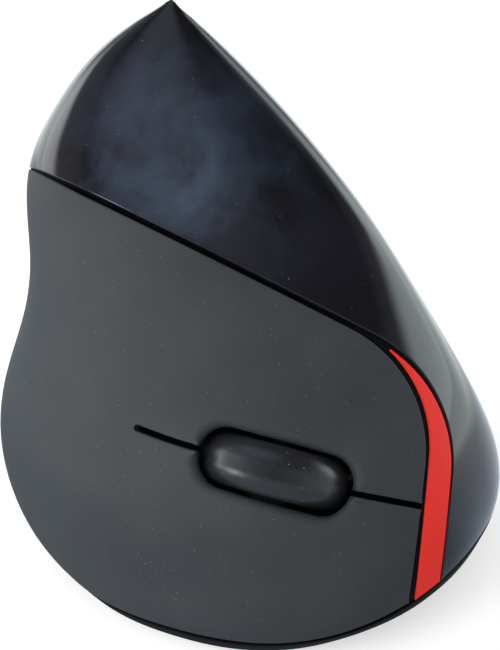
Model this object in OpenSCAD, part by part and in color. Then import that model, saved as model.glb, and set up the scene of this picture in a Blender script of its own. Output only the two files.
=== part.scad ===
// Vertical ergonomic mouse, built as an assembly of named pieces.
// Millimetres. +Z is up, +Y points where the fingers point, +X is the finger side.
// The origin is on the table, under the middle of the outline.

/* [Body] */
// height of the fin's tip above the table
body_height = 79.5; // [77:0.5:84]
// length of the body, palm bulge to nose
body_length = 78.5; // [77:0.5:82]
// width of the body, thumb ledge to finger face
body_width = 66.5; // [65:0.5:70]
// wall of the outer shells
wall = 2; // [1.8:0.1:2.3]
// half of the shells where the thumb side takes over from the finger side, along X
split_x = -14; // [-16:0.5:-12]

/* [Finger face] */
// compass heading of the finger face, from +X toward +Y
face_azimuth = 25; // [24:0.5:26]
// how far the finger face looks up
face_tilt = 36; // [35:0.5:37]
// slope of the slit and the wheel across the finger face
slit_tilt = -15; // [-16:0.5:-14]
// place of the wheel around the body
wheel_turn = 28; // [27:0.5:29]
// place of the wheel up the body, as a share of its lines
wheel_rise = 0.427; // [0.42:0.001:0.435]
// height of the parting line over the wheel
parting_rise = 26.6; // [26:0.1:27.5]
// slope of the parting line
parting_slope = 26.7; // [26:0.1:27.5]
// front edge of the finger panel, ahead of the wheel
panel_front = 22.1; // [21.5:0.1:22.6]
// width of the accent strip
strip_width = 3.8; // [3:0.1:4.4]
// lean of the front edges, as run over rise
edge_lean = 0.09; // [0.07:0.01:0.12]
// radius that turns the parting line into the front edge
corner_radius = 16.5; // [14:0.5:18]
// seam around the finger panel
seam = 0.8; // [0.7:0.1:1]
// slit between the two main buttons
slit_width = 0.9; // [0.8:0.1:1.1]
// distance of the flexing line behind the wheel
hinge_back = 21.5; // [20.5:0.5:22.5]
// gap that stands for the flexing line
hinge_gap = 0.35; // [0.3:0.05:0.5]

/* [Scroll wheel] */
// diameter over the tread
wheel_d = 23; // [22.4:0.1:23.2]
// width of the tyre
wheel_w = 7.2; // [6.6:0.1:7.4]
// how far the tread stands out of the face
wheel_proud = 2.6; // [2:0.1:3.2]
// length of the wheel's opening
slot_length = 24.2; // [24:0.1:25]
// width of the wheel's opening
slot_width = 8.6; // [8.4:0.1:9.2]
// rim radius under the tyre
hub_r = 8.2; // [7.8:0.1:8.6]
// axle diameter
axle_d = 2.4; // [2:0.1:3]
// running clearance of the axle, per side
axle_play = 0.05; // [0.03:0.01:0.1]
// travel of the wheel's click
click_travel = 0.5; // [0.4:0.05:0.6]

/* [Buttons and boards] */
// depth of the button board under the finger face
board_depth = 14.5; // [14.2:0.1:15.2]
// thickness of the circuit boards
board_t = 1.6; // [1.2:0.1:1.8]
// height of a micro switch
switch_h = 6.5; // [6:0.1:6.6]
// free travel between a button's post and its switch
press_gap = 0.75; // [0.7:0.05:1]

/* [Thumb side] */
// height of the thumb buttons
thumb_z = 47; // [46:0.5:48]
// seam between the two thumb buttons, along Y
thumb_y = -1; // [-3:0.5:1]
// length of one thumb button
thumb_len = 14.4; // [13:0.1:15]
// height of one thumb button
thumb_h = 6.6; // [6:0.1:7.2]
// how far the thumb buttons stand out
thumb_proud = 0.9; // [0.6:0.1:1.2]
// travel of a thumb button
thumb_travel = 0.6; // [0.4:0.1:0.7]

/* [Base] */
// thickness of the glide feet
foot_height = 0.8; // [0.6:0.1:1]
// top of the base floor above the table
floor_top = 3; // [2.9:0.1:3.4]
// height of the base rim along the sides
rim_height = 2.2; // [2:0.1:2.4]
// where the rim starts to rise toward the nose, along Y
lip_start = 12; // [10:0.5:14]
// radius of the rim's rise
lip_radius = 50; // [46:1:56]
// gap between the base rim and the shells
rim_gap = 0.4; // [0.3:0.1:0.6]
// gap between the base rim and the lower button
button_rim_gap = 0.8; // [0.7:0.1:1]
// diameter of a battery cell
cell_d = 10.5; // [10.2:0.1:10.6]
// length of a battery cell
cell_len = 44.5; // [43:0.5:44.5]
// place of the battery pair along X
bay_x = -11; // [-11.3:0.1:-10.8]
// place of the battery pair along Y
bay_y = 1; // [0.6:0.1:1.4]
// place of the optical sensor along X
sensor_x = 8.5; // [8.2:0.1:9]
// place of the optical sensor along Y
sensor_y = -1; // [-1.5:0.1:-0.5]
// diameter of the screw shanks
screw_d = 2; // [1.8:0.1:2.2]
// travel of the power switch
power_travel = 2; // [1.6:0.1:2.2]

/* [Hidden] */
$fn = 32;

// Lines plan: height, palm edge, nose edge, finger side, thumb side, ridge.
plan = [
  [0.8, -27.5, 29.5, 26.5, -33, -4],
  [6, -35.5, 37.5, 29.5, -37, -4],
  [14, -40, 38.5, 29, -36, -5],
  [24, -40, 36.5, 29.5, -29, -6],
  [34, -37, 32, 22.5, -24, -7],
  [44, -37, 24.5, 15, -23, -9],
  [54, -41.5, 15.5, 7.5, -25, -12],
  [63, -38, 2.5, -1, -28, -16],
  [71, -33.5, -11, -11, -29, -20],
  [79.5, -22.5, -22.5, -23, -23, -23]
];
last = len(plan) - 1;
kx = body_width / 66.5;
ky = body_length / 78.5;
kz = (body_height - foot_height) / 78.7;
rows = [for (p = plan) [
  foot_height + (p[0] - 0.8) * kz, p[1] * ky, p[2] * ky, p[3] * kx, p[4] * kx, p[5] * kx
]];
base_power = 2.3;
tip_power = 2;

// A row of the plan, carried on straight past both ends.
function knot(i) =
  i < 0 ? 2 * rows[0] - rows[1] :
  i > last ? 2 * rows[last] - rows[last - 1] :
  rows[i];

// The plan's lines as one smooth cubic spline, v = 0 at the base and 1 at the tip.
function lines(v) =
  let (s = v * last, i = min(floor(s), last - 1), f = s - i)
  (pow(1 - f, 3) * knot(i - 1)
   + (3 * pow(f, 3) - 6 * f * f + 4) * knot(i)
   + (-3 * pow(f, 3) + 3 * f * f + 3 * f + 1) * knot(i + 1)
   + pow(f, 3) * knot(i + 2)) / 6;

function swell(t, n) = sign(t) * pow(abs(t), 2 / n);

// Outer surface: u turns from the finger side (0) to the nose (90), the thumb (180) and the palm (270).
function skin(u, v) =
  let (
    q = lines(v),
    n = base_power + (tip_power - base_power) * v,
    a = swell(sin(u), n),
    b = abs(swell(cos(u), n)),
    side = cos(u) > 0 ? q[3] : q[4]
  )
  [q[5] + b * (side - q[5]), (q[1] + q[2]) / 2 + a * (q[2] - q[1]) / 2, q[0]];

// Outward normal of the surface.
function lean(u, v) =
  let (
    du = skin(u + 0.5, v) - skin(u - 0.5, v),
    dv = skin(u, min(v + 0.005, 1)) - skin(u, max(v - 0.005, 0)),
    c = cross(du, dv)
  )
  c / norm(c);

// The surface moved in by d, along its normal or level with the table.
function inner(u, v, d) = skin(u, v) - d * lean(u, v);
function inset(u, v, d) =
  let (c = lean(u, v), h = norm([c[0], c[1]]))
  skin(u, v) - d * [c[0] / h, c[1] / h, 0];

// Top edge of the base rim, and the share v at which the surface meets it.
function rim_z(y) = rim_height + (y > lip_start ? pow(y - lip_start, 2) / (2 * lip_radius) : 0);
function rim_v(u, lo = 0, hi = 0.3, k = 20) =
  let (m = (lo + hi) / 2, p = skin(u, m))
  k == 0 ? m : p[2] < rim_z(p[1]) ? rim_v(u, m, hi, k - 1) : rim_v(u, lo, m, k - 1);

function mean(ring) = [for (k = [0:2]) [for (p = ring) p[k]] * [for (p = ring) 1 / len(ring)]];

sides = 48;
levels = 28;
body_rings = [for (j = [0:levels]) [for (i = [0:sides - 1]) skin(i * 360 / sides, 0.985 * j / levels)]];
xs = [for (r = body_rings, p = r) p[0]];
ys = [for (r = body_rings, p = r) p[1]];
home = [-(min(xs) + max(xs)) / 2, -(min(ys) + max(ys)) / 2, 0];
seat = skin(wheel_turn, wheel_rise);

wheel_r = wheel_d / 2;
wheel_x = wheel_proud - wheel_r;
yoke_in = wheel_w / 2 + 0.8;
yoke_out = yoke_in + 1.2;
yoke_low = wheel_x - wheel_r - 0.6;
yoke_bed = yoke_low - 1.2;
well_in = yoke_out + 0.35;
well_out = well_in + 1.3;
tact_h = 3.5;
tact_stem = 1;
well_floor = yoke_bed - click_travel - 0.15 - tact_stem - tact_h;
encoder_w = 3.8;
frame_gap = 1;
frame_t = 2;
frame_top = -board_depth - board_t - frame_gap;
switch_y = 3.5;
upper_z = 13;
lower_z = -10.5;
plunger = 0.6;
post_end = -board_depth + switch_h + plunger + press_gap;
tongue_depth = 26;

cell_pitch = cell_d + 0.3;
cell_z = floor_top + 0.4 + cell_d / 2;
bay_half = cell_d + 0.55;
bay_top = floor_top + 6;
bay_end = cell_len / 2 + 2.2;
rib_x = bay_x + bay_half + 1.3;
board_x = rib_x + 2;
door_top = foot_height + 1.2;
pcb_z = floor_top + 3.2;
boss_r = 2.6;
seat_gap = 0.05;
boss_spots = [[-26.2, -14], [-26.2, 15], [4.4, 23.2 * ky], [11, -21.5]];
leg_spots = [[20.9 * kx, -5], [9.9, 19.4]];
leg_half = 2.3;
part_room = 3.2;
ribbon_x = board_x + 12.4;
post_spots = [[board_x + 2, 13.5], [board_x + 13, 13.5], [board_x + 2, -15], [board_x + 13, -15]];
thumb_face = skin(180, 0.53)[0];
thumb_board_x = thumb_face + 11.2;
thumb_spots = [for (s = [1, -1]) thumb_y * ky + s * (thumb_len / 2 + 0.3)];

// Frames

module homed() {
  translate(home) children();
}

// X out of the finger face, Y forward, Z up the face.
module face_frame() {
  translate(seat)
    rotate([0, 0, face_azimuth])
      rotate([0, -face_tilt, 0])
        children();
}

// The face frame turned so that Y runs along the slit and Z is the wheel's axle.
module wheel_frame() {
  face_frame() rotate([slit_tilt, 0, 0]) children();
}

// A flat outline drawn on the finger face, pushed through the body.
module face_prism(x0 = -70, x1 = 40) {
  face_frame() face_push(x0, x1) children();
}

module wheel_prism(x0 = -70, x1 = 40) {
  wheel_frame() face_push(x0, x1) children();
}

module face_push(x0, x1) {
  rotate([90, 0, 90])
    translate([0, 0, x0])
      linear_extrude(x1 - x0)
        children();
}

module box(x, y, z) {
  translate([x[0], y[0], z[0]])
    cube([x[1] - x[0], y[1] - y[0], z[1] - z[0]]);
}

// Bodies of the shells

// Closed skin over rings that run counterclockwise from above, bottom ring first.
module loft(rings, apex) {
  n = len(rings[0]);
  m = len(rings);
  points = concat([for (r = rings) each r], [mean(rings[0]), apex]);
  walls = [for (j = [0:m - 2], i = [0:n - 1])
    let (a = j * n + i, b = j * n + (i + 1) % n)
    each [[a, a + n, b], [b, a + n, b + n]]];
  low = [for (i = [0:n - 1]) [m * n, i, (i + 1) % n]];
  high = [for (i = [0:n - 1]) [m * n + 1, (m - 1) * n + (i + 1) % n, (m - 1) * n + i]];
  polyhedron(points = points, faces = concat(walls, low, high), convexity = 6);
}

module body_solid() {
  loft(body_rings, skin(0, 1));
}

module hollow(d) {
  n = 36;
  m = 16;
  rings = [for (j = [0:m]) [for (i = [0:n - 1]) inner(i * 360 / n, 0.9 * j / m, d)]];
  open_end = [for (p = rings[0]) [p[0], p[1], -3]];
  loft(concat([open_end], rings), mean(rings[m]));
}

module shell_skin() {
  difference() {
    body_solid();
    hollow(wall);
  }
}

// Everything more than gap over the base rim.
module above_rim(gap) {
  low = [for (k = [0:14]) let (y = -60 + k * 72 / 14) [y, rim_height + gap]];
  rise = [for (k = [1:24]) let (y = lip_start + k * 2) [y, rim_z(y) + gap]];
  translate([-60, 0, 0])
    rotate([90, 0, 90])
      linear_extrude(120)
        polygon(concat(low, rise, [[lip_start + 48, 120], [-60, 120]]));
}

// The finger side of the body, ahead of the vertical parting on the palm side.
module finger_side() {
  box([split_x * kx, 80], [-80, 80], [-5, 120]);
}

// Outline on the finger face under the parting line and behind a leaning front edge.
module face_outline(front, grow = 0) {
  s = tan(parting_slope);
  corner_y = (front + edge_lean * parting_rise) / (1 + edge_lean * s);
  corner_z = parting_rise - s * corner_y;
  offset(delta = grow)
    offset(r = corner_radius, $fn = 96)
      offset(delta = -corner_radius)
        polygon([
          [-90, parting_rise + 90 * s],
          [corner_y, corner_z],
          [front - edge_lean * 60, -60],
          [-90, -60]
        ]);
}

module panel_outline(grow) {
  face_outline(panel_front, grow);
}

module strip_outline(grow) {
  face_outline(panel_front + strip_width, grow);
}

module stadium(length, width) {
  hull() {
    for (s = [-1, 1]) translate([s * (length - width) / 2, 0]) circle(d = width, $fn = 48);
  }
}

// Screw boss standing on the base floor, with a rib that ties it to the shell at a heading.
module boss(spot, top, heading, rib_low) {
  intersection() {
    body_solid();
    difference() {
      union() {
        translate([spot[0], spot[1], floor_top + seat_gap]) cylinder(r = boss_r, h = top - floor_top);
        translate(spot) rotate(heading) box([0, 40], [-0.8, 0.8], [rib_low, top]);
      }
      pilot(spot);
    }
  }
}

// Room inside the shells for the walls around the cells.
module bay_relief() {
  box(
    [bay_x - bay_half - 1 - rim_gap, bay_x + bay_half + 1 + rim_gap],
    [bay_y - bay_end - 1.2 - rim_gap, bay_y + bay_end + 1.2 + rim_gap],
    [-5, bay_top + rim_gap]
  );
}

// Hole for a shell screw.
module pilot(spot) {
  translate([spot[0], spot[1], floor_top - 1]) cylinder(d = screw_d + 0.3, h = 9);
}

module thumb_outline(i, grow = 0) {
  translate([thumb_spots[i], thumb_z * kz])
    rotate(-6)
      offset(delta = grow)
        stadium(thumb_len, thumb_h);
}

// A flat outline in Y and Z, pushed through the thumb side.
module thumb_prism(x0, x1) {
  translate([x0, 0, 0])
    rotate([90, 0, 90])
      linear_extrude(x1 - x0)
        children();
}

// Outer shells

// Gloss cover: ridge, nose, palm and thumb side. Cut as a mesh, at its own size.
module gloss_shell() {
  color("#17181c") homed() resize([0, 0, 0]) union() {
    difference() {
      intersection() {
        shell_skin();
        above_rim(rim_gap);
      }
      intersection() {
        finger_side();
        face_prism() strip_outline(seam / 2);
      }
      for (i = [0, 1]) thumb_prism(-40, -15) thumb_outline(i);
      for (p = boss_spots) pilot(p);
      bay_relief();
    }
    boss(boss_spots[0], 26, 180, 5);
    boss(boss_spots[1], 26, 180, 5);
    boss(boss_spots[2], 13, 120, 9.4);
    intersection() {
      body_solid();
      for (y = [-15.5, 11])
        translate([-40, y, 41 * kz]) rotate([0, 90, 0]) cylinder(r = 1.7, h = 40 + thumb_board_x - board_t);
    }
  }
}

// Fixed rear part of the matte finger side, behind the flexing line.
module finger_panel() {
  color("#45494d") homed() resize([0, 0, 0]) union() {
    intersection() {
      shell_skin();
      finger_side();
      above_rim(rim_gap);
      face_prism() panel_outline(-seam / 2);
      wheel_frame() box([-80, 60], [-120, -hinge_back - hinge_gap / 2], [-80, 80]);
      difference() {
        box([-60, 60], [-60, 60], [-5, 120]);
        pilot(boss_spots[3]);
        bay_relief();
      }
    }
    boss(boss_spots[3], 15, -90, 5);
  }
}

// Matte tongue of one main button, with the post that meets its switch.
module tongue(z, lift, post_z) {
  resize([0, 0, 0]) union() {
    intersection() {
      shell_skin();
      finger_side();
      above_rim(lift);
      face_prism() panel_outline(-seam / 2);
      wheel_frame() box([-tongue_depth, 60], [-hinge_back + hinge_gap / 2, 80], z);
      difference() {
        wheel_frame() box([-60, 60], [-80, 80], [-80, 80]);
        wheel_prism() stadium(slot_length, slot_width);
      }
    }
    intersection() {
      body_solid();
      wheel_frame()
        translate([post_end, switch_y - 2.8, post_z])
          rotate([0, 90, 0])
            cylinder(r = 1.6, h = 20);
    }
  }
}

module upper_button() {
  color("#45494d") homed() tongue([slit_width / 2, 80], rim_gap, upper_z);
}

module lower_button() {
  color("#45494d") homed() tongue([-80, -slit_width / 2], button_rim_gap, lower_z);
}

// Red crescent between the finger panel and the nose.
module accent_strip() {
  color("#e0312a") homed() resize([0, 0, 0]) intersection() {
    shell_skin();
    finger_side();
    above_rim(rim_gap);
    face_prism() difference() {
      strip_outline(-0.1);
      panel_outline(0.25);
    }
    face_frame() box([-40, 20], [-60, 60], [-40, 18]);
  }
}

// Base

// Tray with a rim that follows the body and rises to the nose.
module base_tub() {
  n = sides;
  us = [for (i = [0:n - 1]) i * 360 / n];
  rims = [for (u = us) rim_v(u)];
  rings = [
    [for (u = us) skin(u, 0)],
    [for (i = [0:n - 1]) skin(us[i], rims[i] / 2)],
    [for (i = [0:n - 1]) skin(us[i], rims[i])],
    [for (i = [0:n - 1]) let (p = inset(us[i], rims[i], wall)) [p[0], p[1], rim_z(p[1])]],
    [for (u = us) let (p = inset(u, 0, wall + 0.6)) [p[0], p[1], floor_top]]
  ];
  loft(rings, [0, 0, floor_top]);
}

module base_plate() {
  color("#15161a") homed() difference() {
    union() {
      base_tub();
      bay_walls();
      for (p = post_spots)
        translate([p[0], p[1], floor_top - 1]) cylinder(r = 1.9, h = pcb_z - floor_top + 1);
    }
    translate([0, 0, -1]) linear_extrude(door_top + 1) door_outline(0.35);
    linear_extrude(floor_top + 1) door_outline(-0.9);
    box([sensor_x - 3.5, sensor_x + 3.5], [sensor_y - 2.5, sensor_y + 2.5], [0, floor_top + 1]);
    box([power_x - 1.7, power_x + 1.7], power_span(0.3), [0, floor_top + 1]);
    for (p = concat(boss_spots, leg_spots)) translate([p[0], p[1], 0]) {
      cylinder(d = screw_d + 0.4, h = floor_top + 2);
      cylinder(d = screw_d * 2 + 0.4, h = floor_top - 1);
    }
    for (p = post_spots) translate([p[0], p[1], floor_top - 0.6]) cylinder(d = screw_d, h = 8);
  }
}

// Low walls around the two cells, left out where the shell curves in.
module bay_walls() {
  low = floor_top - 1;
  high = bay_top;
  y0 = bay_y - bay_end;
  y1 = bay_y + bay_end;
  box([bay_x + bay_half, bay_x + bay_half + 1], [y0 - 1.2, y1 + 1.2], [low, high]);
  box([bay_x - bay_half - 1, bay_x - bay_half], [y0 + 8, y1 - 8], [low, high]);
  for (y = [y0 - 1.2, y1]) box([bay_x - bay_half + 7, bay_x + bay_half + 1], [y, y + 1.2], [low, high]);
}

door_half = bay_end - 1.2;

module door_outline(grow) {
  translate([bay_x, bay_y])
    offset(r = 2.5 + grow)
      square([2 * bay_half - 5.6, 2 * door_half - 5], center = true);
}

power_x = board_x + 7.6;
power_plate = 2.4 + power_travel;
power_y = sensor_y - 6.4 - power_plate - power_travel;
function power_span(gap) = [power_y - 2 - gap, power_y + 2 + power_travel + gap];

module glide_feet() {
  color("#2b2d31") homed() {
    translate([16, 19.5, 0]) linear_extrude(foot_height) offset(r = 2) square([3, 3], center = true);
    translate([17.5, -14, 0]) linear_extrude(foot_height) offset(r = 2) square([3, 3], center = true);
    translate([-27, 0.5, 0]) linear_extrude(foot_height) offset(r = 2) square([2.4, 12], center = true);
  }
}

// Inside the finger face

// Bracket that carries the button board and the wheel's well, on two legs and a rib.
module inner_frame() {
  low = frame_top - frame_t;
  color("#1f2024") homed() difference() {
    union() {
      wheel_frame() difference() {
        union() {
          box([low, frame_top], [-14, 13], [-14, 18.5]);
          box([low, frame_top], [-18.5, -10], [-20.5, -13]);
          for (y = [-12, 10.5], z = [-12, 16.5])
            translate([frame_top - 0.5, y, z]) rotate([0, 90, 0]) cylinder(r = 1.8, h = frame_gap + 0.5);
          box([well_floor - 1.2, low + 1], [-5, 5], [-well_out, well_out]);
        }
        box([well_floor, 20], [-5.1, 5.1], [-well_in, well_in]);
        box([low - 1, 20], [-wheel_r, wheel_r], [-well_in, well_in]);
      }
      difference() {
        union() {
          box([rib_x, rib_x + 1.6], [-7, 18], [floor_top, 60]);
          box([rib_x, 16], [16.6, 18], [floor_top, 60]);
          for (p = leg_spots)
            box([p[0] - leg_half, p[0] + leg_half], [p[1] - leg_half, p[1] + leg_half], [floor_top, 40]);
        }
        wheel_frame() box([low + 0.5, 90], [-90, 90], [-90, 90]);
        wheel_frame() box([well_floor - 1.8, 90], [-6.5, 6.5], [-well_out - 0.4, well_out + 0.4]);
      }
    }
    for (p = leg_spots) translate([p[0], p[1], floor_top - 1]) cylinder(d = screw_d, h = 5);
    board_room();
    bay_room();
    box([-60, 60], [-60, 60], [-60, floor_top]);
  }
}

// Room over the main board for its parts, and for the ribbon's way up.
module board_room() {
  box([board_x - 0.2, board_x + 15.2], [-17.7, 16.2], [pcb_z - 1, pcb_z + board_t + part_room]);
  box([ribbon_x - 0.5, ribbon_x + 1.7], [-9.5, -4.5], [pcb_z, 40]);
}

// Room for the cells.
module bay_room() {
  box(
    [bay_x - bay_half, bay_x + bay_half + 1.1],
    [bay_y - bay_end, bay_y + bay_end],
    [floor_top, floor_top + cell_d + 0.8]
  );
}

module button_board() {
  color("#1d5a3a") homed() difference() {
    wheel_frame() difference() {
      box([-board_depth - board_t, -board_depth], [-19.5, 12.5], [-16, 18.5]);
      box([-30, 0], [-wheel_r, wheel_r], [-well_in - 0.3, well_in + 0.3]);
      box([-30, 0], [10, 20], [-20, -12]);
    }
    box([board_x - 0.2, board_x + 15.2], [-17.7, 16.2], [pcb_z - 1, pcb_z + board_t + part_room]);
  }
}

module micro_switch(z) {
  wheel_frame() {
    box([-board_depth, -board_depth + switch_h], [switch_y - 6.4, switch_y + 6.4], [z - 2.9, z + 2.9]);
    box(
      [-board_depth + switch_h, -board_depth + switch_h + plunger],
      [switch_y - 4.2, switch_y - 1.4],
      [z - 0.7, z + 0.7]
    );
  }
}

module upper_switch() {
  color("#26282c") homed() micro_switch(upper_z);
}

module lower_switch() {
  color("#26282c") homed() micro_switch(lower_z);
}

// Scroll wheel

module wheel_tyre() {
  half = wheel_w / 2;
  crown = 3;
  color("#121315") homed() wheel_frame() translate([wheel_x, 0, 0]) rotate_extrude($fn = 96) difference() {
    hull() {
      translate([hub_r, -half]) square([1, wheel_w]);
      for (s = [-1, 1]) translate([wheel_r - crown, s * (half - crown)]) circle(r = crown, $fn = 32);
    }
    translate([0, -10]) square([hub_r, 20]);
  }
}

module wheel_hub() {
  half = wheel_w / 2 - 0.3;
  color("#2a2c30") homed() wheel_frame() translate([wheel_x, 0, 0]) {
    difference() {
      translate([0, 0, -half]) cylinder(r = hub_r, h = 2 * half);
      for (k = [0:5]) rotate(60 * k) translate([hub_r * 0.58, 0, -10]) cylinder(d = hub_r * 0.38, h = 20);
    }
    translate([0, 0, -yoke_out - 0.2]) cylinder(d = axle_d, h = 2 * yoke_out + encoder_w - 0.4);
    for (s = [-1, 1]) translate([0, 0, s > 0 ? half - 0.1 : -half - 0.4]) cylinder(d = axle_d + 2, h = 0.5);
  }
}

module wheel_carrier() {
  color("#33353a") homed() wheel_frame() difference() {
    union() {
      for (s = [-1, 1]) translate([0, 0, s > 0 ? yoke_in : -yoke_out]) {
        translate([wheel_x, 0, 0]) cylinder(r = 3.4, h = 1.2);
        box([yoke_bed, wheel_x], [-3.4, 3.4], [0, 1.2]);
      }
      box([yoke_bed, yoke_low], [-3.4, 3.4], [-yoke_out, yoke_out]);
    }
    translate([wheel_x, 0, -20]) cylinder(d = axle_d + 2 * axle_play, h = 40);
  }
}

module scroll_encoder() {
  color("#3b4a63") homed() wheel_frame() difference() {
    box([wheel_x - 4.4, wheel_x + 4.4], [-4.4, 4.4], [yoke_out, yoke_out + encoder_w]);
    translate([wheel_x, 0, 0]) cylinder(d = axle_d + 2 * axle_play, h = 20);
  }
}

module tact() {
  box([0, tact_h], [-3, 3], [-3, 3]);
  translate([tact_h, 0, 0]) rotate([0, 90, 0]) cylinder(d = 3.4, h = tact_stem);
}

module middle_switch() {
  color("#1b1c1f") homed() wheel_frame() translate([well_floor, 0, 0]) tact();
}

// Thumb side

module thumb_button(i) {
  y = thumb_spots[i];
  resize([0, 0, 0]) union() {
    difference() {
      intersection() {
        thumb_skin();
        thumb_prism(-40, -15) thumb_outline(i, -0.35);
      }
      hollow(wall);
    }
    intersection() {
      body_solid();
      thumb_prism(-40, thumb_stop) translate([y, thumb_z * kz]) circle(r = 1.8);
    }
  }
}

thumb_stop = thumb_board_x - board_t - tact_h - tact_stem - thumb_travel - 0.15;

// The thumb side of the surface, moved out by the buttons' height.
module thumb_skin() {
  n = 24;
  m = 8;
  rings = [for (j = [0:m]) [for (i = [0:n - 1]) inner(i * 360 / n, 0.4 + 0.3 * j / m, -thumb_proud)]];
  loft(rings, mean(rings[m]));
}

module forward_button() {
  color("#26282d") homed() thumb_button(0);
}

module back_button() {
  color("#26282d") homed() thumb_button(1);
}

module thumb_board() {
  color("#1d5a3a") homed()
    box([thumb_board_x - board_t, thumb_board_x], [-18, 13], [38.8 * kz, 50.5 * kz]);
}

module thumb_switches() {
  color("#1b1c1f") homed()
    for (y = thumb_spots)
      translate([thumb_board_x - board_t, y, thumb_z * kz]) mirror([1, 0, 0]) tact();
}

// Inside the base

module main_board() {
  color("#1d5a3a") homed() difference() {
    box([board_x, board_x + 15], [-17.5, 16], [pcb_z, pcb_z + board_t]);
    box([sensor_x - 2.6, sensor_x + 2.6], [sensor_y - 2.6, sensor_y + 2.6], [0, 20]);
    for (p = post_spots) translate([p[0], p[1], 0]) cylinder(d = screw_d + 0.2, h = 30);
  }
}

module radio_parts() {
  top = pcb_z + board_t;
  color("#2c2e33") homed() {
    box([board_x + 4.5, board_x + 10.5], [9.5, 15], [top, top + 1]);
    box([board_x + 11, board_x + 14], [0, 8], [top, top + 2.6]);
    translate([board_x + 7.5, -13.5, top]) cylinder(d = 4, h = 5.4);
  }
}

module sensor_chip() {
  top = pcb_z + board_t;
  color("#101113") homed() box([sensor_x - 4, sensor_x + 4], [sensor_y - 6, sensor_y + 6], [top, top + 2.4]);
}

module sensor_lens() {
  color("#cfe0ea", 0.5) homed() {
    difference() {
      box([sensor_x - 5, sensor_x + 5], [sensor_y - 6, sensor_y + 6], [floor_top, floor_top + 1.2]);
      translate([sensor_x, sensor_y, 0]) cylinder(r = 1.2, h = floor_top + 0.6);
    }
    translate([sensor_x, sensor_y, floor_top + 1.2]) cylinder(r = 2.1, h = pcb_z - floor_top - 1.4);
  }
}

module sensor_led() {
  top = pcb_z + board_t;
  color("#d8e6f0") homed() translate([sensor_x, sensor_y + 6.4, top + 1.5]) rotate([-90, 0, 0]) {
    cylinder(d = 3, h = 3.4);
    translate([0, 0, 3.4]) cylinder(d = 2.6, h = 0.4);
  }
}

module battery_cells() {
  color("#b8bcc2") homed()
    for (s = [-1, 1]) translate([bay_x + s * cell_pitch / 2, bay_y, cell_z]) rotate([-90 * s, 0, 0]) {
      translate([0, 0, -cell_len / 2]) cylinder(d = cell_d, h = cell_len - 1);
      translate([0, 0, cell_len / 2 - 1]) cylinder(d = 5.4, h = 1);
    }
}

// Flat plates at the caps, bent leaves at the cans.
module battery_contacts() {
  end = bay_end - seat_gap;
  low = floor_top + 1;
  color("#c9ccd0") homed() for (s = [-1, 1]) translate([bay_x + s * cell_pitch / 2, bay_y, 0]) {
    box([-3.5, 3.5], s > 0 ? [end - 0.5, end] : [-end, -end + 0.5], [low, floor_top + 8]);
    translate([-3, 0, 0]) rotate([90, 0, 90]) linear_extrude(6) polygon([
      [-s * end, low],
      [-s * end, floor_top + 8],
      [-s * (end - 0.4), floor_top + 8],
      [-s * (end - 2.1), floor_top + 5],
      [-s * (end - 1.7), floor_top + 4.6],
      [-s * (end - 0.4), floor_top + 7],
      [-s * (end - 0.4), low]
    ]);
  }
}

module battery_door() {
  color("#15161a") homed() difference() {
    union() {
      translate([0, 0, foot_height]) linear_extrude(door_top - foot_height) door_outline(0);
      for (x = [-8.2, 0, 8.2])
        box(
          [bay_x + x - 0.6, bay_x + x + 0.6],
          [bay_y - door_half + 6, bay_y + door_half - 6],
          [door_top - 0.2, floor_top - 0.2]
        );
    }
    translate([bay_x, bay_y + door_half - 4, foot_height - 1]) cylinder(r = 2.4, h = 1.5);
  }
}

module power_slider() {
  color("#3a3d42") homed() {
    box([power_x - 1.3, power_x + 1.3], [power_y - 2, power_y + 2], [foot_height + 0.15, floor_top + 0.05]);
    box(
      [power_x - 2.6, power_x + 2.6],
      [power_y - power_plate, power_y + power_plate],
      [floor_top + 0.05, floor_top + 0.95]
    );
  }
}

module power_switch_case() {
  color("#9a9da2") homed()
    box([power_x - 2, power_x + 2], [power_y - 3.2, power_y + 5.2], [floor_top + 1.3, pcb_z]);
}

// Fasteners

module screw(length) {
  cylinder(d = screw_d, h = length);
  difference() {
    translate([0, 0, -1.2]) cylinder(d = screw_d * 2, h = 1.2);
    for (a = [0, 90]) rotate(a) translate([-screw_d * 0.7, -0.25, -1.5]) cube([screw_d * 1.4, 0.5, 0.9]);
  }
}

module shell_screws() {
  color("#8c9096") homed() for (p = boss_spots) translate([p[0], p[1], floor_top - 1]) screw(7);
}

module frame_screws() {
  color("#8c9096") homed() for (p = leg_spots) translate([p[0], p[1], floor_top - 1]) screw(4);
}

module board_screws() {
  color("#8c9096") homed()
    for (p = post_spots) translate([p[0], p[1], pcb_z + board_t]) mirror([0, 0, 1]) screw(4.4);
}

// Flat lead from the button board down to the main board.
module ribbon_cable() {
  x = ribbon_x;
  top = pcb_z + board_t;
  color("#d9d4c6") homed() difference() {
    translate([0, -5, 0]) rotate([90, 0, 0]) linear_extrude(4) polygon([
      [x, top],
      [x + 0.4, top],
      [x + 1.2, top + 5],
      [x + 0.4, top + 11],
      [x + 0.4, 40],
      [x, 40],
      [x, top + 11],
      [x + 0.8, top + 5]
    ]);
    wheel_frame() box([-board_depth - board_t, 90], [-90, 90], [-90, 90]);
  }
}

gloss_shell();
finger_panel();
upper_button();
lower_button();
accent_strip();
base_plate();
glide_feet();
inner_frame();
button_board();
upper_switch();
lower_switch();
wheel_tyre();
wheel_hub();
wheel_carrier();
scroll_encoder();
middle_switch();
forward_button();
back_button();
thumb_board();
thumb_switches();
main_board();
radio_parts();
sensor_chip();
sensor_lens();
sensor_led();
battery_cells();
battery_contacts();
battery_door();
power_slider();
power_switch_case();
shell_screws();
board_screws();
frame_screws();
ribbon_cable();
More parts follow.
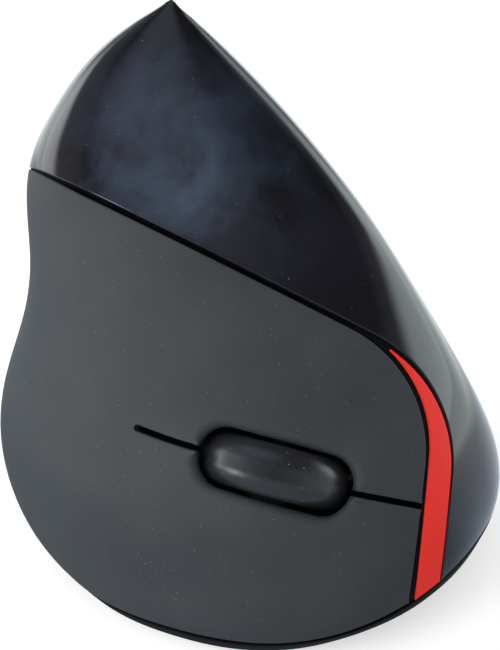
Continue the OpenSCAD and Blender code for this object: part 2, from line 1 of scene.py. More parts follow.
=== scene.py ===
"""Looks of a right-handed vertical mouse: smooth shells, seams, wheel, base, finishes, light and camera."""
import logging
import math
from dataclasses import dataclass, field
from enum import Enum
from typing import Any, Callable, ClassVar

import bmesh
import bpy
import numpy as np
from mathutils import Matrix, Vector
from mathutils.geometry import delaunay_2d_cdt


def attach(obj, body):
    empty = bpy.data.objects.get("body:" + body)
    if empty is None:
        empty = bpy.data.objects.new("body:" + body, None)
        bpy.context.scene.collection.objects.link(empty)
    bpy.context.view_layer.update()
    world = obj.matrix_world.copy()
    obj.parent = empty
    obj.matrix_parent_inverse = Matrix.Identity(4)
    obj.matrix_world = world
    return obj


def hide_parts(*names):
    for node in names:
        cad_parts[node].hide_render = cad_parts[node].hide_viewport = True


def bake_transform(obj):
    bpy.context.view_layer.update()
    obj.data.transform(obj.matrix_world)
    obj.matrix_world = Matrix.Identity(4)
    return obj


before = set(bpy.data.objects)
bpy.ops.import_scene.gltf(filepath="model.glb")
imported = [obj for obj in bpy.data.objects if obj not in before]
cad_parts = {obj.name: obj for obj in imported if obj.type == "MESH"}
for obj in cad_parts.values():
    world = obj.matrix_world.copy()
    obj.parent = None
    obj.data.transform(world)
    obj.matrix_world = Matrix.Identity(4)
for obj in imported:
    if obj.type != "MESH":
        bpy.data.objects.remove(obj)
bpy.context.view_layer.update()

logging.basicConfig(level=logging.INFO, format="%(message)s")
log = logging.getLogger("mouse")

Level = Callable[[np.ndarray], np.ndarray]
Piece = bpy.types.Object
Tree = bpy.types.NodeTree
Socket = bpy.types.NodeSocket
Spot = tuple[float, float]
Spot3 = tuple[float, float, float]
# How far an outline grows, or a radius, and the height in millimetres, from the bottom up
Levels = tuple[Spot, ...]
# Places from 0 to 1 and hex colours of a colour ramp
Stops = tuple[tuple[float, str], ...]

MM = 0.001
FULL_TURN = 2 * math.pi
NUDGE = 1e-4  # half step for slopes, in radians and shares
WELD = 1e-7  # reach within which points are one
SHARP = 0.02  # radius of an edge that is left sharp, in millimetres
OUTSIDE = 50.0  # level of points that an outline leaves out
CREASE = 35.0  # angle over which a solid's edges are sharp, in degrees
WHITE = (1.0, 1.0, 1.0, 1.0)


def units(rows: np.ndarray) -> np.ndarray:
    """Bring each row to a length of one."""
    return rows / np.linalg.norm(rows, axis=1)[:, None]


def eased(share: np.ndarray) -> np.ndarray:
    """Turn shares into a soft step from 0 to 1."""
    t = np.clip(share, 0, 1)
    return t * t * (3 - 2 * t)


def around(count: int) -> np.ndarray:
    """Give evenly spaced turns once around, in radians."""
    return np.arange(count) * FULL_TURN / count


def put(name: str, data: bpy.types.ID) -> Piece:
    """Put an object with its data into the scene.

    Args:
        name: name of the object.
        data: its mesh, lamp or camera.

    Returns:
        The object.
    """
    thing = bpy.data.objects.new(name, data)
    bpy.context.scene.collection.objects.link(thing)
    return thing


# Finishes


def linear(hex_colour: str) -> tuple[float, float, float, float]:
    """Turn an sRGB hex colour into linear RGBA.

    Args:
        hex_colour: six hex digits after a hash sign.

    Returns:
        Linear red, green, blue and an alpha of one.
    """
    parts = [int(hex_colour[i:i + 2], 16) / 255 for i in (1, 3, 5)]
    return tuple(c / 12.92 if c <= 0.04045 else ((c + 0.055) / 1.055) ** 2.4 for c in parts) + (1.0,)


def add(tree: Tree, kind: str, settings: dict[str, Any] | None = None, links: dict[Any, Socket] | None = None,
        stops: Stops = (), **inputs: Any) -> bpy.types.Node:
    """Add a node with its settings and links.

    Args:
        tree: node tree that takes the node.
        kind: Blender's type name of the node.
        settings: attributes of the node itself.
        links: output sockets by the name or index of the input that they feed.
        stops: stops of a colour ramp, in order.
        inputs: plain values by input name, with underscores for spaces.

    Returns:
        The new node.
    """
    node = tree.nodes.new(kind)
    for name, value in (settings or {}).items():
        setattr(node, name, value)
    for name, value in inputs.items():
        node.inputs[name.replace("_", " ")].default_value = value
    for name, socket in (links or {}).items():
        tree.links.new(socket, node.inputs[name])
    if stops:
        marks = node.color_ramp.elements
        while len(marks) < len(stops):
            marks.new(0.5)
        for mark, (place, colour) in zip(marks, stops):
            mark.position = place
            mark.color = linear(colour)
    return node


def fresh_tree(owner: bpy.types.Material | bpy.types.World) -> Tree:
    """Switch a material or world to nodes.

    Args:
        owner: the material or world.

    Returns:
        Its tree, emptied.
    """
    owner.use_nodes = True
    owner.node_tree.nodes.clear()
    return owner.node_tree


# Spans of the noises that colour, roughness and the painted reflection with its smears use, and of a dust
# speck's edge
DRIFT_SPAN = (0.3, 0.7)
WISP_SPAN = (0.38, 0.68)
SPECK_EDGE = (0.10, 0.16)
SPECK_PITCH = 4  # spacing of the places for specks, in speck sizes
SPECK_COVER = 0.7  # share of the colour that a speck hides
GRAIN_HEIGHT = 0.05  # height of the grain at full strength, in millimetres


@dataclass(frozen=True)
class Finish:
    """A moulded, painted or cut surface with fine grain and slight unevenness.

    The grain is a bump at its real size, the unevenness a slow drift of colour and roughness.
    """

    name: str
    slot: str
    colour: str
    other: str
    roughness: Spot = (0.4, 0.5)
    ior: float = 1.5
    metallic: float = 0.0
    grain_mm: float = 0.4
    grain_depth: float = 0.1
    drift_mm: float = 12.0
    dust_mm: float = 0.0
    dust_share: float = 0.0
    dust_colour: str = "#b9bcc0"
    coat: float = 0.0
    coat_roughness: float = 0.03
    see_through: float = 0.0
    # A cloudy bluish patch laid into the colour: a painted reflection of a pale light overhead, with smears
    reflection_smear_mm: float = 0.0
    reflection_smear_colour: str = "#303a48"
    reflection_smear_middle: Spot3 = (0.0, 0.0, 0.0)
    reflection_smear_reach: float = 30.0

    def make(self) -> bpy.types.Material:
        """Build the node material once, and hand it out again after that.

        Returns:
            The material.
        """
        found = bpy.data.materials.get(self.name)
        if found:
            return found
        material = bpy.data.materials.new(self.name)
        tree = fresh_tree(material)
        place = add(tree, "ShaderNodeTexCoord").outputs["Object"]
        drift = add(tree, "ShaderNodeTexNoise", {"noise_dimensions": "3D"}, {"Vector": place},
                    Scale=1 / (self.drift_mm * MM), Detail=3.0, Roughness=0.5).outputs["Fac"]
        least, most = DRIFT_SPAN
        colour = add(tree, "ShaderNodeValToRGB", links={"Fac": drift},
                     stops=((least, self.colour), (most, self.other))).outputs["Color"]
        low, high = self.roughness
        rough = add(tree, "ShaderNodeMapRange", links={"Value": drift},
                    From_Min=least, From_Max=most, To_Min=low, To_Max=high).outputs["Result"]
        # Painted reflection: a bluish patch with smears, laid into the colour
        if self.reflection_smear_mm:
            colour = self.painted_reflection_smear(tree, place, colour)
        if self.dust_mm:
            colour = self.dusted(tree, place, colour)
        grain = add(tree, "ShaderNodeTexNoise", links={"Vector": place},
                    Scale=1 / (self.grain_mm * MM), Detail=2.0, Roughness=0.6)
        bump = add(tree, "ShaderNodeBump", links={"Height": grain.outputs["Fac"]},
                   Strength=self.grain_depth, Distance=GRAIN_HEIGHT * MM)
        shader = add(tree, "ShaderNodeBsdfPrincipled",
                     links={"Base Color": colour, "Roughness": rough, "Normal": bump.outputs["Normal"]},
                     IOR=self.ior, Metallic=self.metallic, Coat_Weight=self.coat,
                     Coat_Roughness=self.coat_roughness, Transmission_Weight=self.see_through)
        add(tree, "ShaderNodeOutputMaterial", links={"Surface": shader.outputs["BSDF"]})
        return material

    def painted_reflection_smear(self, tree: Tree, place: Socket, colour: Socket) -> Socket:
        """Paint a cloudy bluish reflection of a pale light overhead, with smears, into the colour around one
        middle.

        Args:
            tree: the material's tree.
            place: object coordinates.
            colour: the clean colour.

        Returns:
            The colour with the painted reflection and its smears.
        """
        centred = add(tree, "ShaderNodeMapping", {"vector_type": "TEXTURE"}, {"Vector": place},
                      Location=tuple(v * MM for v in self.reflection_smear_middle), Scale=(self.reflection_smear_reach * MM,) * 3)
        reach = add(tree, "ShaderNodeTexGradient", {"gradient_type": "SPHERICAL"},
                    {"Vector": centred.outputs[0]})
        wisps = add(tree, "ShaderNodeTexNoise", links={"Vector": place}, Scale=1 / (self.reflection_smear_mm * MM),
                    Detail=5.0, Roughness=0.62, Distortion=0.4)
        depth = add(tree, "ShaderNodeMapRange", links={"Value": wisps.outputs["Fac"]},
                    From_Min=WISP_SPAN[0], From_Max=WISP_SPAN[1])
        return self.laid(tree, colour, self.reflection_smear_colour, reach.outputs["Fac"], depth.outputs["Result"])

    def dusted(self, tree: Tree, place: Socket, colour: Socket) -> Socket:
        """Strew sparse pale specks over a colour.

        Args:
            tree: the material's tree.
            place: object coordinates.
            colour: the clean colour.

        Returns:
            The dusty colour.
        """
        cells = add(tree, "ShaderNodeTexVoronoi", links={"Vector": place},
                    Scale=1 / (self.dust_mm * SPECK_PITCH * MM), Randomness=1.0)
        spot = add(tree, "ShaderNodeMapRange", links={"Value": cells.outputs["Distance"]},
                   From_Min=SPECK_EDGE[0], From_Max=SPECK_EDGE[1], To_Min=1.0, To_Max=0.0)
        lot = add(tree, "ShaderNodeSeparateColor", links={"Color": cells.outputs["Color"]})
        rare = add(tree, "ShaderNodeMapRange", links={"Value": lot.outputs["Red"]},
                   From_Min=1 - self.dust_share, From_Max=1.0, To_Min=0.0, To_Max=SPECK_COVER)
        return self.laid(tree, colour, self.dust_colour, spot.outputs["Result"], rare.outputs["Result"])

    def laid(self, tree: Tree, colour: Socket, cover: str, one: Socket, two: Socket) -> Socket:
        """Lay a cover over a colour by the product of two shares.

        Args:
            tree: the material's tree.
            colour: the colour underneath.
            cover: hex colour of the cover.
            one: first share.
            two: second share.

        Returns:
            The covered colour.
        """
        share = add(tree, "ShaderNodeMath", {"operation": "MULTIPLY"}, {0: one, 1: two})
        mix = add(tree, "ShaderNodeMix", {"data_type": "RGBA"}, {0: share.outputs["Value"], 6: colour})
        mix.inputs[7].default_value = linear(cover)
        return mix.outputs[2]


class Look(Enum):
    """Every finish on the mouse."""

    # High-gloss black ABS, moulded in a polished tool: sharp reflections over a nearly black body, and a
    # bluish patch of painted reflection with smears in its colour.
    GLOSS = Finish("gloss_black_abs", "gloss", "#121214", "#1f1e26", (0.03, 0.06), 1.54,
                   grain_mm=9, grain_depth=0.02, drift_mm=16, dust_mm=0.16, dust_share=0.04,
                   dust_colour="#8a8c92", reflection_smear_mm=12, reflection_smear_colour="#364252",
                   reflection_smear_middle=(1.0, -11.0, 63.0), reflection_smear_reach=26)
    # Soft-touch lacquer over ABS: dull dark grey with a fine tooth that holds dust.
    SOFT_TOUCH = Finish("soft_touch_lacquer", "soft_touch", "#33373a", "#3a3e41", (0.56, 0.66), 1.36,
                        grain_mm=0.25, grain_depth=0.16, dust_mm=0.13, dust_share=0.16,
                        dust_colour="#94989d")
    # Satin red lacquered ABS: clear colour with a soft broad shine.
    ACCENT = Finish("satin_red_lacquer", "accent", "#ee291e", "#f42e23", (0.45, 0.55), 1.36,
                    grain_mm=0.3, grain_depth=0.06)
    # Spark-eroded black ABS: even, slightly coarse texture without reflections.
    BASE_BLACK = Finish("textured_black_abs", "base_black", "#0a0b0d", "#0f1013", (0.6, 0.75), 1.32,
                        grain_mm=0.35, grain_depth=0.35)
    # Near-black matte ABS of the ledge where two shells meet: its darkest, dullest colour is painted shade in
    # the gap.
    SEAM = Finish("seam_shade_black_abs", "base_black", "#050506", "#08080a", (0.7, 0.85), 1.25,
                  grain_mm=0.3, grain_depth=0.2)
    # Slippery moulded fluoropolymer: waxy dark grey.
    GLIDE = Finish("moulded_ptfe", "glide", "#26282b", "#2e3033", (0.3, 0.42), 1.38,
                   grain_mm=0.5, grain_depth=0.1)
    # Plain moulded ABS of inner brackets: semi-matte with flow marks.
    INNER = Finish("moulded_inner_abs", "inner_plastic", "#232529", "#2b2d31", (0.42, 0.56), 1.53,
                   grain_mm=0.5, grain_depth=0.15)
    # Solder mask over woven glass laminate: green with a satin coat.
    BOARD = Finish("solder_masked_laminate", "board", "#0d3d25", "#14512f", (0.25, 0.38), 1.5,
                   grain_mm=0.6, grain_depth=0.2, drift_mm=3, coat=0.3)
    # Black moulded epoxy of switches and chips: dull with a fine grit.
    COMPONENT = Finish("moulded_epoxy", "component", "#16171a", "#202226", (0.5, 0.65), 1.55,
                       grain_mm=0.15, grain_depth=0.3, drift_mm=2)
    # Black silicone rubber, moulded smooth: soft shine, and dust that clings to it.
    RUBBER = Finish("moulded_silicone_rubber", "wheel_rubber", "#191a1d", "#202225", (0.3, 0.42), 1.6,
                    grain_mm=0.5, grain_depth=0.08, drift_mm=6, dust_mm=0.13, dust_share=0.32,
                    coat=0.55, coat_roughness=0.35)
    # Semi-gloss black ABS of the thumb keys: soft reflections.
    THUMB_KEY = Finish("semi_gloss_black_abs", "thumb_key", "#131417", "#191a1e", (0.2, 0.28), 1.53,
                       grain_mm=0.4, grain_depth=0.06)
    # Clear moulded polycarbonate.
    LENS = Finish("clear_polycarbonate", "lens", "#e6eef2", "#eef4f6", (0.04, 0.08), 1.585,
                  grain_mm=4, grain_depth=0.02, see_through=0.9)
    # Printed shrink film around a cell: satin with faint ripples.
    CELL = Finish("shrink_film", "cell", "#3d5a48", "#486a55", (0.25, 0.35), 1.5,
                  grain_mm=1.5, grain_depth=0.1)
    # Nickel-plated spring steel: bright with rolling marks.
    SPRING = Finish("nickel_plated_steel", "spring_metal", "#b9b6ae", "#c6c3bb", (0.24, 0.36), 1.5, 1.0,
                    grain_mm=0.2, grain_depth=0.1, drift_mm=2)
    # Zinc-plated screw steel: grey, slightly dull.
    SCREW = Finish("zinc_plated_steel", "screw_steel", "#8f949b", "#a2a7ad", (0.3, 0.42), 1.5, 1.0,
                   grain_mm=0.15, grain_depth=0.15, drift_mm=1)
    # Polyester film of the flat lead: cream and slightly shiny.
    RIBBON = Finish("polyester_film", "ribbon", "#cfc9b8", "#d8d3c4", (0.3, 0.4), 1.57,
                    grain_mm=0.8, grain_depth=0.1)
    # Moulded acetal of the slide switch: waxy grey.
    SLIDER = Finish("moulded_acetal", "slider", "#34373b", "#3c3f43", (0.32, 0.42), 1.48,
                    grain_mm=0.4, grain_depth=0.12)


# Surface


@dataclass
class BodyLines:
    """The body's outer skin over its lines plan, in millimetres from the part's origin.

    Each row of the plan holds height, palm edge, nose edge, finger side, thumb side and ridge. A place on the
    skin is a pair: the turn around the body in radians, from the finger side over the nose, and the share of
    the lines from the base, 0, to the tip, 1.
    """

    plan: tuple[tuple[float, ...], ...] = (
        (0.8, -27.5, 29.5, 26.5, -33, -4),
        (6, -35.5, 37.5, 29.5, -37, -4),
        (14, -40, 38.5, 29, -36, -5),
        (24, -40, 36.5, 29.5, -29, -6),
        (34, -37, 32, 22.5, -24, -7),
        (44, -37, 24.5, 15, -23, -9),
        (54, -41.5, 15.5, 7.5, -25, -12),
        (63, -38, 2.5, -1, -28, -16),
        (71, -33.5, -11, -11, -29, -20),
        (79.5, -22.5, -22.5, -23, -23, -23),
    )
    base_power: float = 2.3
    tip_power: float = 2.0
    home_levels: int = 28
    home_top: float = 0.985
    tip_stop: float = 0.997
    knots: np.ndarray = field(init=False)
    home: np.ndarray = field(init=False)

    def __post_init__(self) -> None:
        """Carry the plan on straight past both ends, and find the body's middle."""
        rows = np.array(self.plan, float)
        self.knots = np.vstack([2 * rows[0] - rows[1], rows, 2 * rows[-1] - rows[-2]])
        spans = self.lines(self.home_top * np.arange(self.home_levels + 1) / self.home_levels)
        self.home = np.array([
            -(spans[:, 4].min() + spans[:, 3].max()) / 2,
            -(spans[:, 1].min() + spans[:, 2].max()) / 2,
            0.0,
        ])

    def lines(self, rise: np.ndarray) -> np.ndarray:
        """Read the plan's lines as one smooth cubic spline.

        Args:
            rise: shares from base to tip.

        Returns:
            One row of the plan for each share.
        """
        last = len(self.plan) - 1
        step = rise * last
        i = np.clip(np.floor(step), 0, last - 1).astype(int)
        f = (step - i)[:, None]
        k = self.knots
        return ((1 - f) ** 3 * k[i] + (3 * f ** 3 - 6 * f ** 2 + 4) * k[i + 1]
                + (-3 * f ** 3 + 3 * f ** 2 + 3 * f + 1) * k[i + 2] + f ** 3 * k[i + 3]) / 6

    def power(self, rise: float | np.ndarray) -> float | np.ndarray:
        """Give the power of the level outline at a share of the lines: 2 is an ellipse, more is squarer."""
        return self.base_power + (self.tip_power - self.base_power) * rise

    def point(self, q: np.ndarray) -> np.ndarray:
        """Find points of the skin.

        Args:
            q: places.

        Returns:
            The point at each place.
        """
        turn, rise = q[:, 0], q[:, 1]
        row, power = self.lines(rise), self.power(rise)
        c, s = np.cos(turn), np.sin(turn)
        reach = (np.abs(c) ** power + np.abs(s) ** power) ** (-1 / power)
        side = np.where(c > 0, row[:, 3], row[:, 4])
        x = row[:, 5] + reach * np.abs(c) * (side - row[:, 5])
        y = (row[:, 1] + row[:, 2]) / 2 + reach * s * (row[:, 2] - row[:, 1]) / 2
        return np.stack([x, y, row[:, 0]], 1) + self.home

    def ring(self, turn: np.ndarray, rise: float | np.ndarray) -> np.ndarray:
        """Find the points of the skin at turns, all at one share or each at its own."""
        return self.point(np.stack([turn, 0 * turn + rise], 1))

    def tangents(self, q: np.ndarray) -> tuple[np.ndarray, np.ndarray]:
        """Find the skin's tangents.

        Args:
            q: places.

        Returns:
            The tangents by turn and by rise.
        """
        turn, rise = np.array([NUDGE, 0.0]), np.array([0.0, NUDGE])
        return ((self.point(q + turn) - self.point(q - turn)) / (2 * NUDGE),
                (self.point(q + rise) - self.point(q - rise)) / (2 * NUDGE))

    def normal(self, q: np.ndarray) -> np.ndarray:
        """Give the outward unit normals at places q, short of the very tip."""
        return units(np.cross(*self.tangents(np.stack([q[:, 0], np.minimum(q[:, 1], self.tip_stop)], 1))))

    def move(self, q: np.ndarray, way: np.ndarray) -> np.ndarray:
        """Move places along the skin, in two half steps.

        Args:
            q: places.
            way: displacement of each place in millimetres.

        Returns:
            The new places.
        """
        for _ in range(2):
            a, b = self.tangents(q)
            aa, ab, bb = (a * a).sum(1), (a * b).sum(1), (b * b).sum(1)
            ra, rb = (a * way).sum(1) / 2, (b * way).sum(1) / 2
            det = aa * bb - ab * ab
            q = q + np.stack([(ra * bb - rb * ab) / det, (rb * aa - ra * ab) / det], 1)
        return q


@dataclass
class FaceSketch:
    """Drawing on the finger face: its frame, and the outlines that part the shells from each other.

    The last fields are rough places from which corners of the outlines are sought: those of the face lie
    ahead of the wheel and up, those of the palm along Y and Z.
    """

    skin: BodyLines
    azimuth: float = 25.0
    tilt: float = 36.0
    slit_tilt: float = -15.0
    wheel_turn: float = 28.0
    wheel_rise: float = 0.427
    parting_rise: float = 26.6
    parting_slope: float = 26.7
    panel_front: float = 22.45
    panel_lean: float = 0.11
    panel_radius: float = 20.5
    strip_front: float = 22.45
    strip_width: float = 4.1
    strip_lean: float = 0.09
    strip_inner_radius: float = 19.0
    strip_outer_radius: float = 20.5
    gloss_reach: float = -0.67
    split_x: float = -14.0
    rim_rear: float = 2.3
    rim_front: float = 3.2
    rim_start: float = -26.0
    rim_end: float = 16.0
    lip_start: float = 12.0
    lip_radius: float = 50.0
    bow_start: float = -11.0
    bow_run: float = 10.5
    bow_rise: float = 0.6
    front_drop: float = 0.45
    front_slope: float = 0.058
    front_start: float = 12.1
    slot_drop: float = 0.14
    slot_taper: float = 0.08
    rear_start: float = -29.0
    rear_run: float = 8.0
    rear_close: float = 0.8
    panel_foot: Spot = (20.0, -28.0)
    strip_foot: Spot = (24.0, -26.0)
    nose_foot: Spot = (25.0, -25.0)
    slit_front: Spot = (21.0, -6.0)
    strip_tip: Spot = (17.0, 17.0)
    palm_foot: Spot = (-32.0, 3.0)
    palm_seam: Spot = (-38.0, 40.0)
    palm_top: Spot = (-38.0, 60.0)

    def __post_init__(self) -> None:
        """Set up the axes of the face and of the wheel."""
        az, el, roll = (math.radians(a) for a in (self.azimuth, self.tilt, self.slit_tilt))
        self.out = np.array([math.cos(az) * math.cos(el), math.sin(az) * math.cos(el), math.sin(el)])
        self.ahead = np.array([-math.sin(az), math.cos(az), 0.0])
        self.up = np.cross(self.out, self.ahead)
        self.along = math.cos(roll) * self.ahead + math.sin(roll) * self.up
        self.axle = math.cos(roll) * self.up - math.sin(roll) * self.ahead
        turn = math.atan(math.tan(math.radians(self.wheel_turn)) ** (2 / self.skin.power(self.wheel_rise)))
        self.seat = self.skin.point(np.array([[turn, self.wheel_rise]]))[0]

    def at(self, spot: Spot) -> np.ndarray:
        """Give the point of the face at a spot ahead of the wheel and up."""
        return self.seat + spot[0] * self.ahead + spot[1] * self.up

    def at_palm(self, spot: Spot) -> np.ndarray:
        """Give the point over the palm side's parting at a spot along Y and Z."""
        return self.skin.home + np.array([self.split_x, *spot])

    def at_wheel(self, x: float, y: float, z: float) -> np.ndarray:
        """Give the point at x out, y along the slit and z along the axle."""
        return self.seat + x * self.out + y * self.along + z * self.axle

    def outline(self, front: float, lean: float, radius: float, grow: float) -> Level:
        """Draw the outline under the parting line and behind a leaning front edge.

        Args:
            front: place of the front edge ahead of the wheel.
            lean: run of the front edge ahead for each millimetre up.
            radius: radius of the corner between the parting line and the front edge.
            grow: distance outside the outline where the level is zero.

        Returns:
            Signed distance from the grown outline, negative inside it.
        """
        slope = math.radians(self.parting_slope)
        size = math.hypot(1, lean)
        sides = np.array([[math.sin(slope), math.cos(slope)], [1 / size, -lean / size]])
        runs = np.array([[math.cos(slope), -math.sin(slope)], [lean / size, 1 / size]])
        inset = np.array([self.parting_rise * math.cos(slope), front / size]) - radius
        apex = np.linalg.solve(sides, inset)

        def level(p: np.ndarray) -> np.ndarray:
            """Measure points against the outline."""
            flat = np.stack([(p - self.seat) @ self.ahead, (p - self.seat) @ self.up], 1)
            past = (flat - apex) @ runs.T
            edges = (flat @ sides.T - inset).max(1)
            far = np.where((past > 0).all(1), np.linalg.norm(flat - apex, axis=1), edges)
            return far - radius - grow * (1 - self.rear_close * self.rear_share(p))

        return level

    def rear_share(self, p: np.ndarray) -> np.ndarray:
        """Give the share, 0 to 1, by which points lie in the rear, where the seams close up."""
        return np.clip((self.rear_start - (p - self.seat) @ self.ahead) / self.rear_run, 0, 1)

    def panel(self, grow: float) -> Level:
        """Draw the finger panel's outline."""
        return self.outline(self.panel_front, self.panel_lean, self.panel_radius, grow)

    def strip_inner(self, grow: float) -> Level:
        """Draw the accent strip's outline toward the panel."""
        return self.outline(self.strip_front, self.strip_lean, self.strip_inner_radius, grow)

    def strip_outer(self, grow: float, reach: float = 0.0) -> Level:
        """Draw the accent strip's outline toward the nose, or a like one that reaches further ahead."""
        front = self.strip_front + self.strip_width + reach
        return self.outline(front, self.strip_lean, self.strip_outer_radius, grow)

    def gloss(self, grow: float) -> Level:
        """Draw the gloss shell's edge, closer to the strip than to the panel."""
        return self.strip_outer(grow, self.gloss_reach)

    def across(self, run: float) -> Level:
        """Draw a line square to the parting line.

        Args:
            run: its place along the parting line.

        Returns:
            Signed distance from the line.
        """
        slope = math.radians(self.parting_slope)
        way = math.cos(slope) * self.ahead - math.sin(slope) * self.up
        return lambda p: (p - self.seat) @ way - run

    def bow(self, y: np.ndarray) -> np.ndarray:
        """Bend the slit, up behind the wheel and flatter ahead of it.

        Args:
            y: places along the slit.

        Returns:
            The slit's rise at each place.
        """
        t = np.maximum((self.bow_start - y) / self.bow_run, 0)
        rear = self.bow_rise * np.where(t < 1, t * t, 2 * t - 1)
        return np.where(y > 0, self.front_slope * (y - self.front_start) - self.front_drop, rear)

    def slit(self, z: float) -> Level:
        """Draw a line along the slit, z to its upper side."""
        return lambda p: (p - self.seat) @ self.axle - self.bow((p - self.seat) @ self.along) - z

    def slit_round(self, y: float, radius: float) -> Level:
        """Draw the slit's round end.

        Args:
            y: place of its middle along the slit.
            radius: its radius.

        Returns:
            Signed distance from the round end.
        """
        rise = self.bow(np.array([y]))[0]

        def level(p: np.ndarray) -> np.ndarray:
            """Measure points against the round end."""
            return np.hypot((p - self.seat) @ self.along - y, (p - self.seat) @ self.axle - rise) - radius

        return level

    def slot(self, length: float, width: float) -> Level:
        """Draw the wheel's round-ended opening, deeper under the slit and more so to the front.

        Args:
            length: length over its round ends.
            width: width, if it were as deep under the slit as over it.

        Returns:
            Level of the opening, negative inside it.
        """
        half = (length - width) / 2

        def level(p: np.ndarray) -> np.ndarray:
            """Measure points against the slot."""
            run, rise = (p - self.seat) @ self.along, (p - self.seat) @ self.axle
            wide = 1 + self.slot_drop + self.slot_taper * np.clip(0.5 + run / length, 0, 1)
            past = run - np.clip(run, -half, half)
            return np.hypot(past, np.where(rise < 0, rise / wide, rise)) - width / 2

        return level

    def split(self, gap: float) -> Level:
        """Draw the upright parting on the palm side, gap toward the finger side."""
        return lambda p: p[:, 0] - self.skin.home[0] - self.split_x - gap

    def rim(self, gap: float) -> Level:
        """Draw the line that lies gap over the base rim."""
        return lambda p: p[:, 2] - self.rim_top(p[:, 1]) - gap

    def rim_top(self, y: np.ndarray) -> np.ndarray:
        """Give the height of the base rim, which rises to the front and more so under the nose.

        Args:
            y: places along Y.

        Returns:
            The height at each place.
        """
        run = y - self.skin.home[1]
        share = eased((run - self.rim_start) / (self.rim_end - self.rim_start))
        lip = np.maximum(run - self.lip_start, 0) ** 2 / (2 * self.lip_radius)
        return self.rim_rear + (self.rim_front - self.rim_rear) * share + lip


@dataclass
class Edge:
    """One stretch of a shell's edge: its places on the skin, the radius of its rolled edge and its ease.

    The ease is the largest share of the room to the next corner that the radius takes up.
    """

    places: np.ndarray
    roll: float
    ease: float = 0.4


@dataclass
class SkinPen:
    """Traces outlines along the skin, in steps of millimetres."""

    skin: BodyLines
    step: float = 0.5
    net_turns: int = 361
    net_rises: int = 161
    far_weight: float = 0.1
    corner_rounds: int = 30
    corner_leap: float = 0.2
    most_steps: int = 2000
    first_steps: int = 3
    goal_near: float = 0.75
    goal_past: float = 2.0

    def __post_init__(self) -> None:
        """Lay a coarse net over the skin, from which corners are found."""
        turn, rise = np.meshgrid(np.linspace(0, FULL_TURN, self.net_turns),
                                 np.linspace(0.0, 1.0, self.net_rises))
        self.net = np.stack([turn.ravel(), rise.ravel()], 1)
        self.net_points = self.skin.point(self.net)

    def slope(self, level: Level, q: np.ndarray) -> tuple[float, np.ndarray, np.ndarray, np.ndarray]:
        """Measure a level and its slope at one place.

        Args:
            level: the outline.
            q: the place.

        Returns:
            The level, its slope by turn and rise, and the skin's two tangents.
        """
        h = NUDGE
        p = self.skin.point(q + np.array([[0, 0], [h, 0], [-h, 0], [0, h], [0, -h]]))
        f = level(p)
        return (f[0], np.array([f[1] - f[2], f[3] - f[4]]) / (2 * h),
                (p[1] - p[2]) / (2 * h), (p[3] - p[4]) / (2 * h))

    def corner(self, one: Level, two: Level, near: np.ndarray) -> np.ndarray:
        """Find the place near a point where two outlines cross.

        Args:
            one: first outline.
            two: second outline.
            near: point close to the crossing.

        Returns:
            The place.
        """
        far = np.linalg.norm(self.net_points - near, axis=1)
        miss = np.abs(one(self.net_points)) + np.abs(two(self.net_points)) + self.far_weight * far
        q = self.net[miss.argmin()].copy()
        for _ in range(self.corner_rounds):
            f, df, _, _ = self.slope(one, q)
            g, dg, _, _ = self.slope(two, q)
            q -= np.clip(np.linalg.solve(np.array([df, dg]), [f, g]), -self.corner_leap, self.corner_leap)
        return q

    def trace(self, level: Level, start: np.ndarray, end: np.ndarray, toward: np.ndarray,
              step: float | None = None) -> np.ndarray:
        """Follow an outline from one place to another.

        Args:
            level: the outline.
            start: first place.
            end: last place, which is left out of the result.
            toward: direction in which the line sets out.
            step: distance between samples, if not the pen's own.

        Returns:
            The places along the line.
        """
        step = step or self.step
        goal = self.skin.point(end[None])[0]
        places = [start]
        q, ahead = start.copy(), toward
        for count in range(self.most_steps):
            _, df, a, b = self.slope(level, q)
            run = np.array([-df[1], df[0]])
            way = run[0] * a + run[1] * b
            sign = math.copysign(1, way @ ahead)
            q = q + run * (sign * step / np.linalg.norm(way))
            for _ in range(2):
                f, df, _, _ = self.slope(level, q)
                q = q - f * df / (df @ df)
            ahead = way * sign
            left = goal - self.skin.point(q[None])[0]
            passed = count > self.first_steps and left @ ahead < 0
            if np.linalg.norm(left) < (self.goal_past if passed else self.goal_near) * step:
                break
            places.append(q)
        return np.array(places)

    def loop(self, roll: float, *sides: tuple[Any, ...]) -> list[Edge]:
        """Follow outlines once around, each from its own first place to that of the next.

        Args:
            roll: radius of the rolled edge.
            sides: the outline, first place and direction of each stretch, and a step if it has its own.

        Returns:
            The stretches of the loop.
        """
        ends = [side[1] for side in sides[1:] + sides[:1]]
        return [Edge(self.trace(level, start, end, *more), roll)
                for (level, start, *more), end in zip(sides, ends)]


@dataclass
class Border:
    """The rolled edge along one loop: places of its inner row, and its rows of points with their normals."""

    inner: np.ndarray
    rows: list[tuple[np.ndarray, np.ndarray]]


